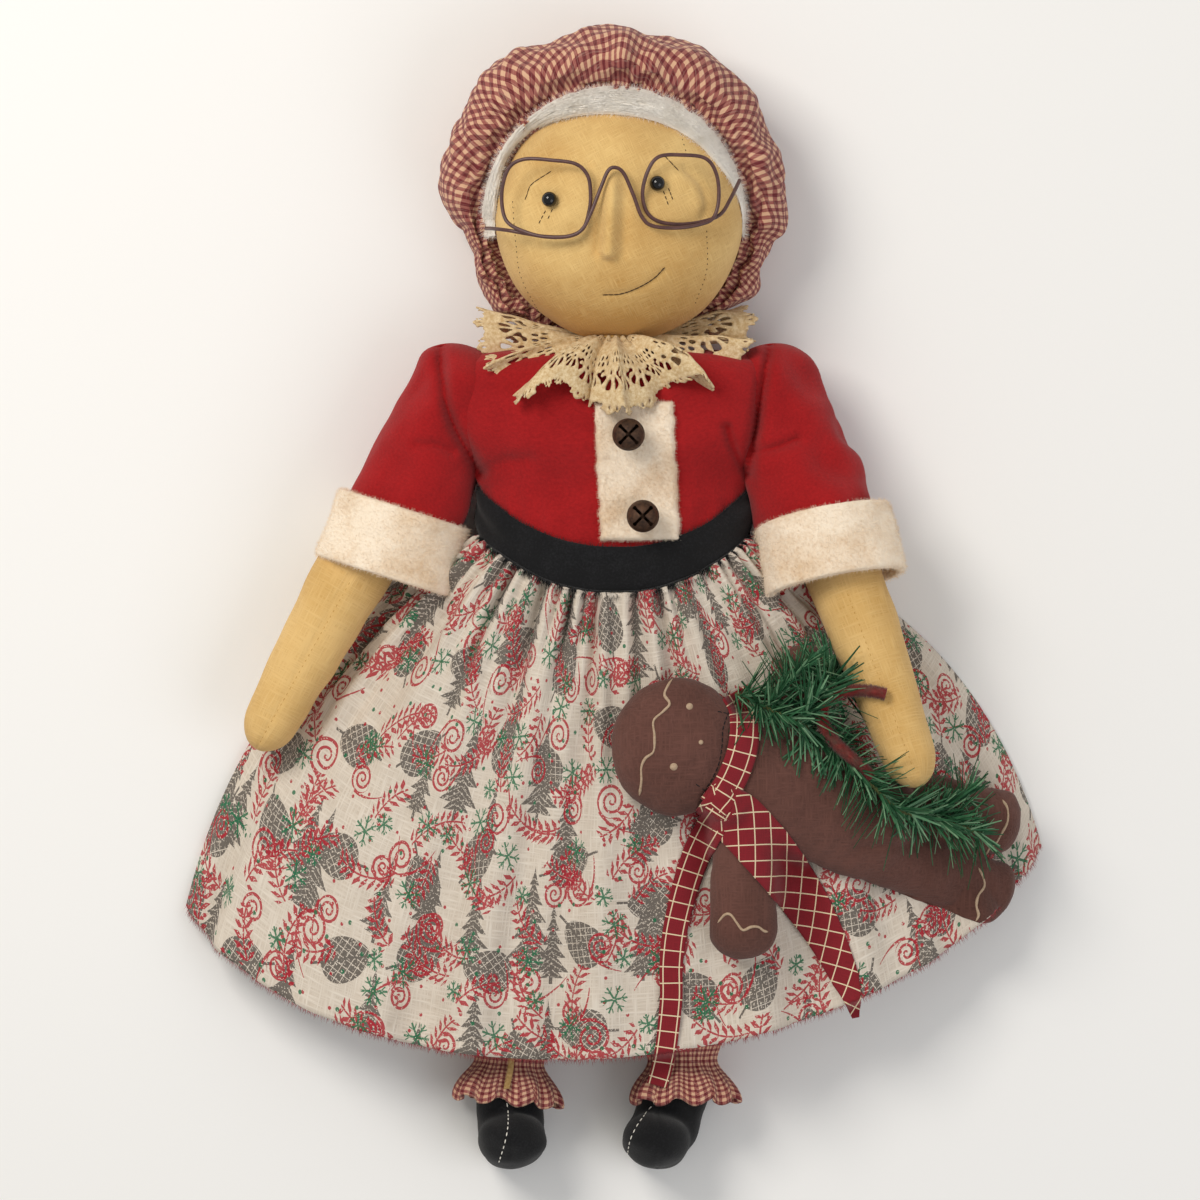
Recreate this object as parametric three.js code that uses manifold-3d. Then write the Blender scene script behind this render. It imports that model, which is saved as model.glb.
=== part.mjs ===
// A cloth grandmother doll lying on its back, with a gingerbread man and a pine sprig at its left hand.
// Millimetres. +X is the doll's left, +Y runs to the top of the head, +Z is up from the surface it lies on.
// The origin is on the flat back of the skirt, a little below the waist.
import * as THREE from 'three';
import { mergeVertices } from 'three/addons/utils/BufferGeometryUtils.js';
import Module from 'manifold-3d';

const wasm = await Module();
wasm.setup();

// Fits
const clearance = 0.35;
const cloth = 1.2;
const felt = 2;

// Body, bodice and belt
const waistY = 17;
const waistHalfWidth = 56;
const waistHalfDepth = 27.4;
const bodyHeight = 31;
const bodiceLength = 86;
const bodiceHem = 13;
const chestHalfDepth = 32;
const shoulderHalfWidth = 50;
const bodiceWall = 1.8;
const torsoHalfWidth = 48;
const torsoHalfDepth = 25;
const torsoAboveHip = 2;
const bodyFullness = 2.3;
const neckRadius = 17;
const neckHeight = 44;
const neckLength = 34;
const neckMiddle = 87;
const beltWidth = 17;
const beltThickness = 1.6;
const beltSide = 20;
const beltFrontDip = 24;
const beltBackDip = 10;

// Head, hair and cap
const headHalfWidth = 52;
const headHalfLength = 51;
const headHalfDepth = 40;
const chinAboveWaist = 91.5;
const capTopRadius = 82;
const capSideRadius = 73;
const capLowRadius = 48;
const capRimRadius = 56;
const capRimTilt = 18;
const hairWidth = 13;
const hairThickness = 5;
const hairArc = 205;
const hairReach = capRimRadius - 5;
const noseX = -1;
const noseTop = 23;
const noseTip = -16;
const noseHeight = 5.4;
const noseHalfWidths = [3, 5];
const eyePlaces = { right: { x: -27, up: 8 }, left: { x: 18, up: 14.5 } };
const eyeRadius = 3.2;
const eyeLift = 0.8;
const wireRadius = 0.8;
const wireLift = 1.3;
const wireBow = 0.0036;

// Arms, sleeves and cuffs
const shoulderX = 66;
const shoulderAboveWaist = 70;
const shoulderRadius = 22;
const socketReach = 62;
const socketLean = 0.26;
const armLength = 172;
const rightArmAngle = 29.4;
const leftArmAngle = 20.5;
const leftHandLift = 30;
const sleeveLength = 84;
const cuffStart = 54;
const cuffWidth = 30;
const sleeveMouth = 24.5;
const sleeveMouthDeep = 22;

// Legs, pantaloons and boots
const hipX = 27;
const hipBelowWaist = 34;
const legLength = 186;
const legHeight = 18;
const legRadius = 12.5;
const ankleShift = { right: -18, left: 2 };
const toeShift = { right: 2, left: -11 };
const pantaloonRadius = 17.5;
const pantaloonPastAnkle = 8;
const frillRadius = 22;
const frillLength = 17;
const frillPinch = 3.4;
const frillPinchWidth = 7;
const bootLength = 38;
const bootHalfWidth = 14.5;
const toeHeight = 44;

// Skirt
const hemHalfWidth = 190;
const hemDrop = 109;
const hemCentre = 100;
const hemTilt = 0.07;
const hemSpread = 72;
const skirtCrown = 43;
const foldCount = 8;
const foldHeight = 7;
const skirtColumns = 40;
const skirtRows = 7;
const backColumns = 16;
const backRows = 5;

// Lace, placket and bells
const collarHalfWidth = 58;
const collarDrop = 29.5;
const collarRise = 27;
const placketWidth = 33;
const placketCentre = 9.5;
const placketLean = 3;
const placketTop = 66;
const placketBottom = 10.5;
const bellPlaces = { upper: { x: 6, up: 52 }, lower: { x: 12, up: 18 } };
const bellRadius = 6.5;
const bellWall = 0.7;
const bellSlot = 1.2;
const loopRadius = 1.5;
const loopWire = 0.5;

// Gingerbread man, scarf and sprig
const gingerHead = 25;
const gingerHalfWidth = 24;
const gingerHalfDepth = 11;
const gingerLimb = 12.5;
const scarfWidth = 12.5;
const scarfThickness = 1;
const stemRadius = 1.7;
const needleLength = 15;
const needleRadius = 0.55;
const sprigCount = 3;
const needlesPerSprig = 104;
const needlesPerRow = 4;
const stemSteps = 4;
const chenilleRadius = 2.8;

const turn = 2 * Math.PI;
const upward = new THREE.Vector3(0, 0, 1);

// Small tools for points and shares
const at = (x, y, z) => new THREE.Vector3(x, y, z);
const mix = THREE.MathUtils.lerp;
const ease = (t) => THREE.MathUtils.smoothstep(t, 0, 1);
const radians = THREE.MathUtils.degToRad;
const along = (from, direction, distance) => from.clone().addScaledVector(direction, distance);

// How full a form still is at a distance from its round end
function roundOff(distance, reach) {
  if (distance >= reach) {
    return 1;
  }
  return Math.sqrt(Math.max(0, 1 - (1 - distance / reach) ** 2));
}

// One point of a superellipse, from an ellipse at power 2 to nearly a box
function superPoint(angle, halfWidth, halfDepth, power) {
  const c = Math.cos(angle);
  const s = Math.sin(angle);
  const x = halfWidth * Math.sign(c) * Math.abs(c) ** (2 / power);
  const y = halfDepth * Math.sign(s) * Math.abs(s) ** (2 / power);
  return [x, y];
}

// A closed body from points and triangles, with its faces turned out
function closedBody(points, index) {
  let volume = 0;
  for (let i = 0; i < index.length; i += 3) {
    const [a, b, c] = [points[index[i]], points[index[i + 1]], points[index[i + 2]]];
    volume += a.dot(b.clone().cross(c));
  }
  const geometry = new THREE.BufferGeometry();
  const numbers = points.flatMap((p) => p.toArray());
  geometry.setAttribute('position', new THREE.Float32BufferAttribute(numbers, 3));
  geometry.setIndex(volume < 0 ? index.slice().reverse() : index);
  return geometry;
}

// A skin stretched over rings of points, closed by a point at each end
function skin(rings, first, last) {
  const points = [first, ...rings.flat(), last];
  const count = rings[0].length;
  const id = (ring, k) => 1 + ring * count + (k % count);
  const end = points.length - 1;
  const index = [];
  for (let k = 0; k < count; k += 1) {
    index.push(0, id(0, k + 1), id(0, k));
    index.push(end, id(rings.length - 1, k), id(rings.length - 1, k + 1));
  }
  for (let r = 0; r + 1 < rings.length; r += 1) {
    for (let k = 0; k < count; k += 1) {
      index.push(id(r, k), id(r, k + 1), id(r + 1, k));
      index.push(id(r, k + 1), id(r + 1, k + 1), id(r + 1, k));
    }
  }
  return closedBody(points, index);
}

// A two-layer cloth: over(u, v) and under(u, v) for u and v from 0 to 1, closed round its edges
function layers({ over, under, across, down, loop = false }) {
  const columns = loop ? across : across + 1;
  const points = [];
  for (const layer of [over, under]) {
    for (let j = 0; j <= down; j += 1) {
      for (let i = 0; i < columns; i += 1) {
        points.push(layer(i / across, j / down));
      }
    }
  }
  const half = columns * (down + 1);
  const id = (i, j, layer) => layer * half + j * columns + (i % columns);
  const index = [];
  const quad = (a, b, c, d) => index.push(a, b, c, a, c, d);
  for (let j = 0; j < down; j += 1) {
    for (let i = 0; i < across; i += 1) {
      quad(id(i, j, 0), id(i + 1, j, 0), id(i + 1, j + 1, 0), id(i, j + 1, 0));
      quad(id(i, j, 1), id(i, j + 1, 1), id(i + 1, j + 1, 1), id(i + 1, j, 1));
    }
  }
  for (let i = 0; i < across; i += 1) {
    quad(id(i, 0, 1), id(i + 1, 0, 1), id(i + 1, 0, 0), id(i, 0, 0));
    quad(id(i, down, 0), id(i + 1, down, 0), id(i + 1, down, 1), id(i, down, 1));
  }
  if (!loop) {
    for (let j = 0; j < down; j += 1) {
      quad(id(0, j, 0), id(0, j + 1, 0), id(0, j + 1, 1), id(0, j, 1));
      quad(id(across, j, 1), id(across, j + 1, 1), id(across, j + 1, 0), id(across, j, 0));
    }
  }
  return closedBody(points, index);
}

// The same point of a cloth moved out along its face
function offsetPoint(point, u, v, distance, loop) {
  const step = 0.01;
  const inside = (t) => (loop ? t : THREE.MathUtils.clamp(t, 0, 1));
  const v0 = THREE.MathUtils.clamp(v - step, 0, 1);
  const v1 = THREE.MathUtils.clamp(v + step, 0, 1);
  const du = point(inside(u + step), v).sub(point(inside(u - step), v));
  const dv = point(u, v1).sub(point(u, v0));
  const normal = dv.cross(du).normalize();
  return point(u, v).addScaledVector(normal, distance);
}

// A cloth of even thickness about the surface point(u, v)
function sheet({ point, across, down, thick, loop = false }) {
  const over = (u, v) => offsetPoint(point, u, v, thick / 2, loop);
  const under = (u, v) => offsetPoint(point, u, v, -thick / 2, loop);
  return layers({ over, under, across, down, loop });
}

// A stuffed form on a bent line: half widths and half depths at both ends, a swell between, round ends
function stuffed(form) {
  const { from, to, wide, deep, round, swell = 0, up = upward, power = 2 } = form;
  const { sides = 14, rings = 8, grow = 0 } = form;
  const mid = form.mid ?? from.clone().add(to).multiplyScalar(0.5);
  const control = mid.clone().multiplyScalar(2).sub(from.clone().add(to).multiplyScalar(0.5));
  const line = new THREE.QuadraticBezierCurve3(from, control, to);
  const length = line.getLength();
  const hoops = [];
  for (let i = 1; i <= rings; i += 1) {
    const share = (1 - Math.cos(Math.PI * (i / (rings + 1)))) / 2;
    const tangent = line.getTangent(share);
    const side = tangent.clone().cross(up).normalize();
    const over = side.clone().cross(tangent);
    const fullness = roundOff(share * length, round[0]) * roundOff((1 - share) * length, round[1]);
    const belly = 1 + swell * Math.sin(Math.PI * share);
    const halfWidth = mix(wide[0], wide[1], share) * belly * fullness + grow;
    const halfDepth = mix(deep[0], deep[1], share) * belly * fullness + grow;
    const hoop = [];
    for (let k = 0; k < sides; k += 1) {
      const [x, y] = superPoint((turn * k) / sides, halfWidth, halfDepth, power);
      hoop.push(line.getPoint(share).addScaledVector(side, x).addScaledVector(over, y));
    }
    hoops.push(hoop);
  }
  const first = along(from, line.getTangent(0), -grow);
  const last = along(to, line.getTangent(1), grow);
  return skin(hoops, first, last);
}

// A wire or stem of round section along a smooth line
function rod(points, radius, sides, steps) {
  const section = new THREE.Shape();
  for (let k = 0; k < sides; k += 1) {
    const angle = (turn * k) / sides;
    const spot = [radius * Math.cos(angle), radius * Math.sin(angle)];
    if (k === 0) {
      section.moveTo(...spot);
    } else {
      section.lineTo(...spot);
    }
  }
  const extrudePath = new THREE.CatmullRomCurve3(points, false, 'centripetal');
  return new THREE.ExtrudeGeometry(section, { steps, bevelEnabled: false, extrudePath });
}

// Solids for cutting and joining
function solid(geometry) {
  const bare = geometry.clone();
  bare.deleteAttribute('normal');
  bare.deleteAttribute('uv');
  const merged = mergeVertices(bare, 1e-4);
  const vertProperties = Float32Array.from(merged.attributes.position.array);
  const triVerts = Uint32Array.from(merged.index.array);
  return new wasm.Manifold(new wasm.Mesh({ numProp: 3, vertProperties, triVerts }));
}

function geometryOf(body) {
  const { vertProperties, triVerts, numProp } = body.getMesh();
  const points = [];
  for (let i = 0; i < vertProperties.length; i += numProp) {
    points.push(vertProperties[i], vertProperties[i + 1], vertProperties[i + 2]);
  }
  const geometry = new THREE.BufferGeometry();
  geometry.setAttribute('position', new THREE.Float32BufferAttribute(points, 3));
  geometry.setIndex(Array.from(triVerts));
  return geometry;
}

const cut = (body, ...tools) => tools.reduce((left, tool) => left.subtract(tool), body);
const join = (body, ...others) => others.reduce((whole, other) => whole.add(other), body);

// The main piece of a cut form, without loose crumbs
function mainPiece(body) {
  const pieces = body.decompose();
  return pieces.reduce((big, piece) => (piece.volume() > big.volume() ? piece : big));
}

function ball(centre, radius, across = 16, down = 10) {
  const sphere = new THREE.SphereGeometry(radius, across, down);
  sphere.rotateX(Math.PI / 2);
  return solid(sphere.translate(centre.x, centre.y, centre.z));
}

function block(low, high) {
  const size = high.clone().sub(low);
  const centre = high.clone().add(low).multiplyScalar(0.5);
  const box = new THREE.BoxGeometry(size.x, size.y, size.z);
  return solid(box.translate(centre.x, centre.y, centre.z));
}

const floorReach = 2 * hemHalfWidth;
const underFloor = block(at(-floorReach, -floorReach, -floorReach), at(floorReach, floorReach, 0));

// Places that several pieces share
const neckAxis = at(0, waistY + neckMiddle, neckHeight);
const headCentre = at(0, waistY + chinAboveWaist + headHalfLength, neckHeight);
const shoulders = {
  right: at(-shoulderX, waistY + shoulderAboveWaist, bodyHeight),
  left: at(shoulderX, waistY + shoulderAboveWaist, bodyHeight),
};
const armLines = {
  right: at(-Math.sin(radians(rightArmAngle)), -Math.cos(radians(rightArmAngle)), 0),
  left: at(Math.sin(radians(leftArmAngle)), -Math.cos(radians(leftArmAngle)), leftHandLift / armLength)
    .normalize(),
};
const hips = {
  right: at(-hipX, waistY - hipBelowWaist, legHeight),
  left: at(hipX, waistY - hipBelowWaist, legHeight),
};

// Bodice: wide at the waist, drawn in to the shoulders, deepest at the chest
function bodiceSize(y) {
  const up = y - waistY;
  const aboveBelt = beltSide + beltWidth / 2;
  const rise = ease((up - aboveBelt) / (bodiceLength - aboveBelt));
  const chest = ease((up - aboveBelt) / (bodiceLength * 0.25));
  const corner = Math.max(0, (up - bodiceLength * 0.62) / (bodiceLength * 0.38));
  const fullness = Math.max(0, 1 - corner ** 3.2) ** (1 / 3.2);
  return {
    halfWidth: mix(waistHalfWidth, shoulderHalfWidth, rise) * mix(fullness, 1, 0.12),
    halfDepth: mix(waistHalfDepth, chestHalfDepth, chest) * mix(fullness, 1, 0.3),
  };
}

function bodiceForm(inset, extraLength) {
  const rings = 8;
  const sides = 20;
  const bottom = waistY - bodiceHem - extraLength;
  const top = waistY + bodiceLength - inset;
  const hoops = [];
  const beltTop = waistY + beltSide + beltWidth / 2;
  for (let r = 0; r < rings; r += 1) {
    const share = r / (rings - 1);
    const y = r === 0 ? bottom : mix(beltTop, top, Math.sin((Math.PI / 2) * ((r - 1) / (rings - 2))));
    const { halfWidth, halfDepth } = bodiceSize(y + inset * share);
    const hoop = [];
    for (let k = 0; k < sides; k += 1) {
      const [x, z] = superPoint((turn * k) / sides, halfWidth - inset, halfDepth - inset, bodyFullness);
      hoop.push(at(x, y, bodyHeight + z));
    }
    hoops.push(hoop);
  }
  return solid(skin(hoops, at(0, bottom, bodyHeight), at(0, top, bodyHeight)));
}

function bodiceFront(x, y) {
  const { halfWidth, halfDepth } = bodiceSize(y);
  const share = Math.min(1, Math.abs(x) / halfWidth);
  return bodyHeight + halfDepth * (1 - share ** bodyFullness) ** (1 / bodyFullness);
}

// The space that an arm in its sleeve turns through, a revolve about the line across the shoulders
function armhole(side, extra) {
  const sign = Math.sign(shoulders[side].x);
  const radius = shoulderRadius + extra;
  const profile = [new THREE.Vector2(0, -radius)];
  const steps = 5;
  for (let i = 1; i <= steps; i += 1) {
    const angle = (i / steps) * radians(45);
    profile.push(new THREE.Vector2(radius * Math.sin(angle), -radius * Math.cos(angle)));
  }
  const last = profile[steps];
  profile.push(new THREE.Vector2(socketReach, last.y + socketLean * (socketReach - last.x)));
  profile.push(new THREE.Vector2(socketReach, socketReach));
  profile.push(new THREE.Vector2(0, socketReach));
  const revolve = new THREE.LatheGeometry(profile, 16);
  revolve.rotateZ(-sign * (Math.PI / 2));
  const { x, y, z } = shoulders[side];
  return solid(revolve.translate(x, y, z));
}

function torsoForm(grow) {
  const trunk = stuffed({
    from: at(0, waistY - hipBelowWaist + torsoAboveHip, bodyHeight),
    to: at(0, waistY + bodiceLength - bodiceWall - clearance - 1.5, bodyHeight),
    wide: [torsoHalfWidth, torsoHalfWidth * 0.8],
    deep: [torsoHalfDepth, torsoHalfDepth * 0.93],
    round: [22, 16],
    swell: 0.03,
    power: bodyFullness,
    sides: 16,
    rings: 7,
    grow,
  });
  return solid(trunk);
}

function neckForm(grow) {
  const radius = neckRadius + grow;
  const neck = new THREE.CylinderGeometry(radius, radius, neckLength + 2 * grow, 16);
  return solid(neck.translate(neckAxis.x, neckAxis.y, neckAxis.z));
}

// Belt and skirt share the waist line
function waistLine(angle, out, drop = 0) {
  const s = Math.sin(angle);
  const dip = s > 0 ? beltFrontDip : beltBackDip;
  const [x, z] = superPoint(angle, waistHalfWidth + out, waistHalfDepth + out, bodyFullness);
  return at(x, waistY + beltSide - dip * s * s - drop, bodyHeight + z);
}

function belt() {
  const face = (out) => (u, v) => waistLine(u * turn, clearance + out, (v - 0.5) * beltWidth);
  const over = face(beltThickness);
  const under = face(0);
  return layers({ over, under, across: 40, down: 1, loop: true });
}

// The hem runs round a wide arc, and each thread of the skirt runs from the waist to it
function hemPoint(u) {
  const angle = radians(u * hemSpread);
  const x = hemHalfWidth * Math.sin(angle);
  return at(x, waistY - hemCentre - hemDrop * Math.cos(angle) + hemTilt * x, 0);
}

function skirtPlan(u, v, waist) {
  const hem = hemPoint(u);
  const control = at(waist.x, waist.y, 0).add(hem).multiplyScalar(0.5);
  control.x += 9 * u;
  control.y += 19 * u * u;
  const line = new THREE.QuadraticBezierCurve3(at(waist.x, waist.y, 0), control, hem);
  return line.getPoint(v);
}

const skirtTop = beltWidth / 2 + cloth + clearance;
const seamLift = cloth + clearance;

function skirtFrontPoint(share, v) {
  const u = share * 2 - 1;
  const waist = waistLine((Math.PI / 2) * (1 - u), clearance + cloth / 2, skirtTop);
  const plan = skirtPlan(u, v, waist);
  const crown = skirtCrown * (1 - Math.abs(u) ** 2.4);
  const settle = ease(Math.min(1, v * (1 + 2.2 * u * u)));
  const flat = cloth / 2 + seamLift;
  const folds = foldHeight * v * (1 - u ** 6) * (0.5 + 0.5 * Math.cos(Math.PI * foldCount * u));
  plan.z = mix(waist.z + seamLift, flat + crown, settle) + folds;
  return plan;
}

function skirtBackPoint(share, down) {
  const u = share * 2 - 1;
  const v = down ** 1.6;
  const waist = waistLine((-Math.PI / 2) * (1 - u), clearance + cloth / 2, skirtTop);
  const plan = skirtPlan(u, v, waist);
  const settle = ease(Math.min(1, v * mix(16, 5, u * u)));
  plan.z = mix(waist.z, cloth / 2, settle);
  return plan;
}

const skirtPanel = (point, across, down) => sheet({ point, across, down, thick: cloth });

// The space under the skirt's face, which what lies on the skirt is cut by
function underSkirt() {
  const over = (u, v) => offsetPoint(skirtFrontPoint, u, v, cloth / 2 + clearance, false);
  const under = (u, v) => {
    const spot = over(u, v);
    spot.z = -60;
    return spot;
  };
  return solid(layers({ over, under, across: skirtColumns, down: skirtRows }));
}

// Head with its pinched nose
function headForm(grow) {
  const skull = stuffed({
    from: at(0, headCentre.y - headHalfLength, headCentre.z),
    to: at(0, headCentre.y + headHalfLength, headCentre.z),
    wide: [headHalfWidth, headHalfWidth],
    deep: [headHalfDepth, headHalfDepth],
    round: [headHalfLength, headHalfLength],
    sides: 20,
    rings: 9,
    grow,
  });
  return solid(skull);
}

function faceHeight(x, y) {
  const across = (x - headCentre.x) / headHalfWidth;
  const up = (y - headCentre.y) / headHalfLength;
  return headCentre.z + headHalfDepth * Math.sqrt(Math.max(0, 1 - across ** 2 - up ** 2));
}

function noseForm(grow) {
  const onFace = (up, lift) => {
    const y = headCentre.y + up;
    return at(noseX, y, faceHeight(noseX, y) + lift);
  };
  const nose = stuffed({
    from: onFace(noseTop, -2),
    to: onFace(noseTip, -1),
    wide: noseHalfWidths,
    deep: [noseHeight, noseHeight + 1],
    round: [5, 5],
    sides: 8,
    rings: 5,
    grow,
  });
  return solid(nose);
}

// Cap: a puffed bag of cloth drawn in round the face and flat behind the head
function capReach(angle) {
  const s = Math.sin(angle);
  return s > 0 ? capSideRadius + (capTopRadius - capSideRadius) * s : mix(capSideRadius, capLowRadius, -s);
}

const rimReach = (angle) => Math.min(capRimRadius, capReach(angle) * 0.96);

function rimHeight(angle) {
  return headCentre.z - 4 + capRimTilt * Math.sin(angle);
}

function capForm() {
  const sides = 24;
  const profile = [
    { reach: (a) => Math.min(40, capReach(a) * 0.7), z: (a) => rimHeight(a) - 4 },
    { reach: (a) => rimReach(a) * 0.96, z: (a) => rimHeight(a) },
    { reach: (a) => mix(rimReach(a), capReach(a), 0.35), z: (a) => rimHeight(a) + 5 * (1 + Math.sin(a)) / 2 },
    { reach: (a) => mix(rimReach(a), capReach(a), 0.85), z: (a) => rimHeight(a) - 4 },
    { reach: (a) => capReach(a), z: (a) => rimHeight(a) * 0.55 },
    { reach: (a) => capReach(a) * 0.95, z: (a) => rimHeight(a) * 0.18 },
    { reach: (a) => capReach(a) * 0.84, z: () => 0 },
  ];
  const hoops = profile.map(({ reach, z }, level) => {
    const hoop = [];
    for (let k = 0; k < sides; k += 1) {
      const angle = (turn * k) / sides;
      const puff = level > 1 && level < 6 ? 1 + 0.022 * Math.cos(8 * angle) : 1;
      const distance = reach(angle) * puff;
      hoop.push(at(
        headCentre.x + distance * Math.cos(angle),
        headCentre.y + distance * Math.sin(angle),
        z(angle),
      ));
    }
    return hoop;
  });
  return solid(skin(hoops, headCentre.clone(), at(headCentre.x, headCentre.y, 0)));
}

// Hair: a soft roll of fleece between face and cap
function hairForm(grow) {
  const middles = [];
  const steps = 15;
  const start = radians(90 - hairArc / 2);
  const rings = [];
  for (let i = 1; i < steps; i += 1) {
    const share = i / steps;
    const angle = start + radians(hairArc) * share;
    const taper = roundOff(share, 0.12) * roundOff(1 - share, 0.12);
    const outwardDir = at(Math.cos(angle), Math.sin(angle), 0);
    const centre = along(headCentre, outwardDir, hairReach);
    centre.z = rimHeight(angle) - 1;
    const hoop = [];
    for (let k = 0; k < 8; k += 1) {
      const [a, b] = superPoint((turn * k) / 8, hairWidth / 2 * taper + grow, hairThickness * taper + grow, 2);
      const lean = along(at(0, 0, 0), outwardDir, 0.5).add(at(0, 0, -0.87));
      const across = at(outwardDir.x * 0.87, outwardDir.y * 0.87, 0.5);
      hoop.push(centre.clone().addScaledVector(lean, a).addScaledVector(across, b));
    }
    rings.push(hoop);
    middles.push(centre);
  }
  return solid(skin(rings, middles[0].clone(), middles[middles.length - 1].clone()));
}

// Eyes are glass beads let into the face
function eyeForm(side, grow) {
  const { x, up } = eyePlaces[side];
  const y = headCentre.y + up;
  return ball(at(x, y, faceHeight(x, y) + eyeLift), eyeRadius + grow, 10, 7);
}

// Spectacles bent from one wire: side piece, lens ring, nose bridge, lens ring, side piece
function spectaclesForm() {
  const bend = (x) => faceHeight(0, headCentre.y) + wireLift - wireBow * x * x;
  const place = ([x, up, over]) => at(x, headCentre.y + up, bend(x) + over);
  const route = [
    [-53.5, -4, -17], [-50.5, -4.5, -5], [-44, -5.5, 0], [-36, -7, 0], [-28, -8.2, 0], [-19, -8, 0],
    [-13, -5, 0], [-10.5, 2, 0], [-9.8, 9, 0], [-11, 17, 0], [-16, 22, 0], [-26, 23.6, 0],
    [-37, 24.2, 0], [-43.5, 21, 0], [-46.5, 13, 0], [-46.6, 4, 0], [-44, -2.5, 0.7],
    [-36, -6.6, 2.4], [-28, -8.4, 2.6], [-19, -8.2, 2.6], [-13.4, -5.4, 2.5], [-9.5, 2, 2.2],
    [-5.6, 12, 0.8], [-2.6, 19, 0], [0.4, 20.5, 0], [4, 18, 0], [8, 9, 0.6], [11.5, 0, 1],
    [16, -3.8, 1], [26, -4.6, 1], [36, -3, 0.6], [41.5, 0, 0.2], [43.6, 8, 0], [42.6, 18, 0],
    [38, 24.5, 0], [28, 25.8, 0], [18.6, 25, 0], [14, 19, 0], [11.8, 10, -0.6], [13.6, 2, -1.4],
    [19, -2, -1.5], [28, -3, -1.5], [38, -1.5, -1.6], [44.5, 1.5, -1.8], [48.6, 8, -3.5], [52.5, 16, -12],
  ];
  return solid(rod(route.map(place), wireRadius, 5, 80));
}

// Placket and bells
function placket() {
  const point = (lift) => (u, v) => {
    const y = waistY + mix(placketTop, placketBottom, v);
    const x = placketCentre + (v - 0.5) * placketLean + (u - 0.5) * placketWidth;
    return at(x, y, bodiceFront(x, y) + lift);
  };
  const pad = solid(layers({ over: point(clearance + felt), under: point(-felt), across: 4, down: 6 }));
  return cut(pad, bodiceForm(-clearance, 0));
}

function bellPivot(name) {
  const { x, up } = bellPlaces[name];
  const y = waistY + up;
  const seat = bodiceFront(x, y) + clearance + felt;
  return at(x, y, seat + clearance + loopRadius + loopWire);
}

// A jingle bell: a thin shell slit crosswise at the front, with its sewing loop behind
function bellForm(name) {
  const pivot = bellPivot(name);
  const centre = along(pivot, upward, bellRadius + loopRadius - loopWire);
  const shell = cut(ball(centre, bellRadius, 12, 7), ball(centre, bellRadius - bellWall, 9, 6));
  const reach = bellRadius * 0.8;
  const front = bellRadius * 0.18;
  const slots = [45, 135].map((angle) => {
    const slot = new THREE.BoxGeometry(2 * reach, bellSlot, bellRadius * 2);
    slot.rotateZ(radians(angle));
    return solid(slot.translate(centre.x, centre.y, centre.z + bellRadius + front));
  });
  const ring = new THREE.TorusGeometry(loopRadius, loopWire, 4, 8);
  ring.rotateY(Math.PI / 2);
  const loop = solid(ring.translate(pivot.x, pivot.y, pivot.z));
  return join(cut(shell, ...slots), cut(loop, ball(centre, bellRadius - bellWall / 2, 8, 6)));
}

function bellPea(name) {
  const centre = along(bellPivot(name), upward, bellRadius + loopRadius - loopWire);
  const radius = bellRadius * 0.28;
  centre.z -= bellRadius - bellWall - radius - clearance;
  return ball(centre, radius, 8, 5);
}

// Lace collar gathered round the neck
function collarPoint(share, down) {
  const angle = share * turn;
  const c = Math.cos(angle);
  const s = Math.sin(angle);
  const front = Math.max(0, s);
  const back = Math.max(0, -s);
  const seat = neckRadius + clearance + cloth / 2;
  const inner = at(seat * c, waistY + 89, neckHeight + seat * s);
  const outer = at(
    mix(seat, collarHalfWidth, 1 - 0.1 * front - 0.3 * back) * c,
    waistY + 90.5 - collarDrop * front ** 1.3 - 2.5 * back,
    neckHeight + (collarRise * s) - 8 * back,
  );
  const wave = (3.6 - 2.4 * back) * down * Math.sin(9 * angle);
  const point = inner.lerp(outer, down);
  point.z += front * 5 * Math.sin(Math.PI * down) + wave * front;
  point.y += wave * (1 - front) * 0.6;
  return point;
}

// Arms with their sleeves and cuffs
function armForm(side, grow) {
  const root = shoulders[side];
  const line = armLines[side];
  const tip = along(root, line, armLength);
  const mid = along(root, line, armLength / 2).add(at(Math.sign(root.x) * 1.5, 0, 0));
  const arm = stuffed({
    from: along(root, line, 4),
    mid,
    to: tip,
    wide: [14, 10.4],
    deep: [14, 10.4],
    swell: 0.3,
    round: [14, 13],
    sides: 12,
    rings: 8,
    grow,
  });
  return solid(arm);
}

function sleeveForm(side, inset, grow = 0) {
  const root = shoulders[side];
  const line = armLines[side];
  const tube = stuffed({
    from: along(root, line, inset > 0 ? 14 : -4),
    to: along(root, line, sleeveLength + inset * 4),
    wide: [19 - inset, sleeveMouth - inset],
    deep: [19 - inset, sleeveMouthDeep - inset],
    round: [6, 1.5],
    sides: 12,
    rings: 3,
    grow,
  });
  return solid(tube);
}

function sleeve(side) {
  const head = ball(shoulders[side], shoulderRadius, 13, 8);
  const outer = join(sleeveForm(side, 0), head);
  return cut(outer, sleeveForm(side, cloth * 1.5), armForm(side, clearance));
}

function cuffForm(side) {
  const root = shoulders[side];
  const line = armLines[side];
  const wall = felt + clearance + 1.6;
  const tube = stuffed({
    from: along(root, line, cuffStart),
    to: along(root, line, cuffStart + cuffWidth),
    wide: [sleeveMouth + wall - 1.5, sleeveMouth + wall],
    deep: [sleeveMouthDeep + wall - 1.5, sleeveMouthDeep + wall],
    round: [2.5, 2.5],
    sides: 14,
    rings: 3,
  });
  return solid(tube);
}

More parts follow.
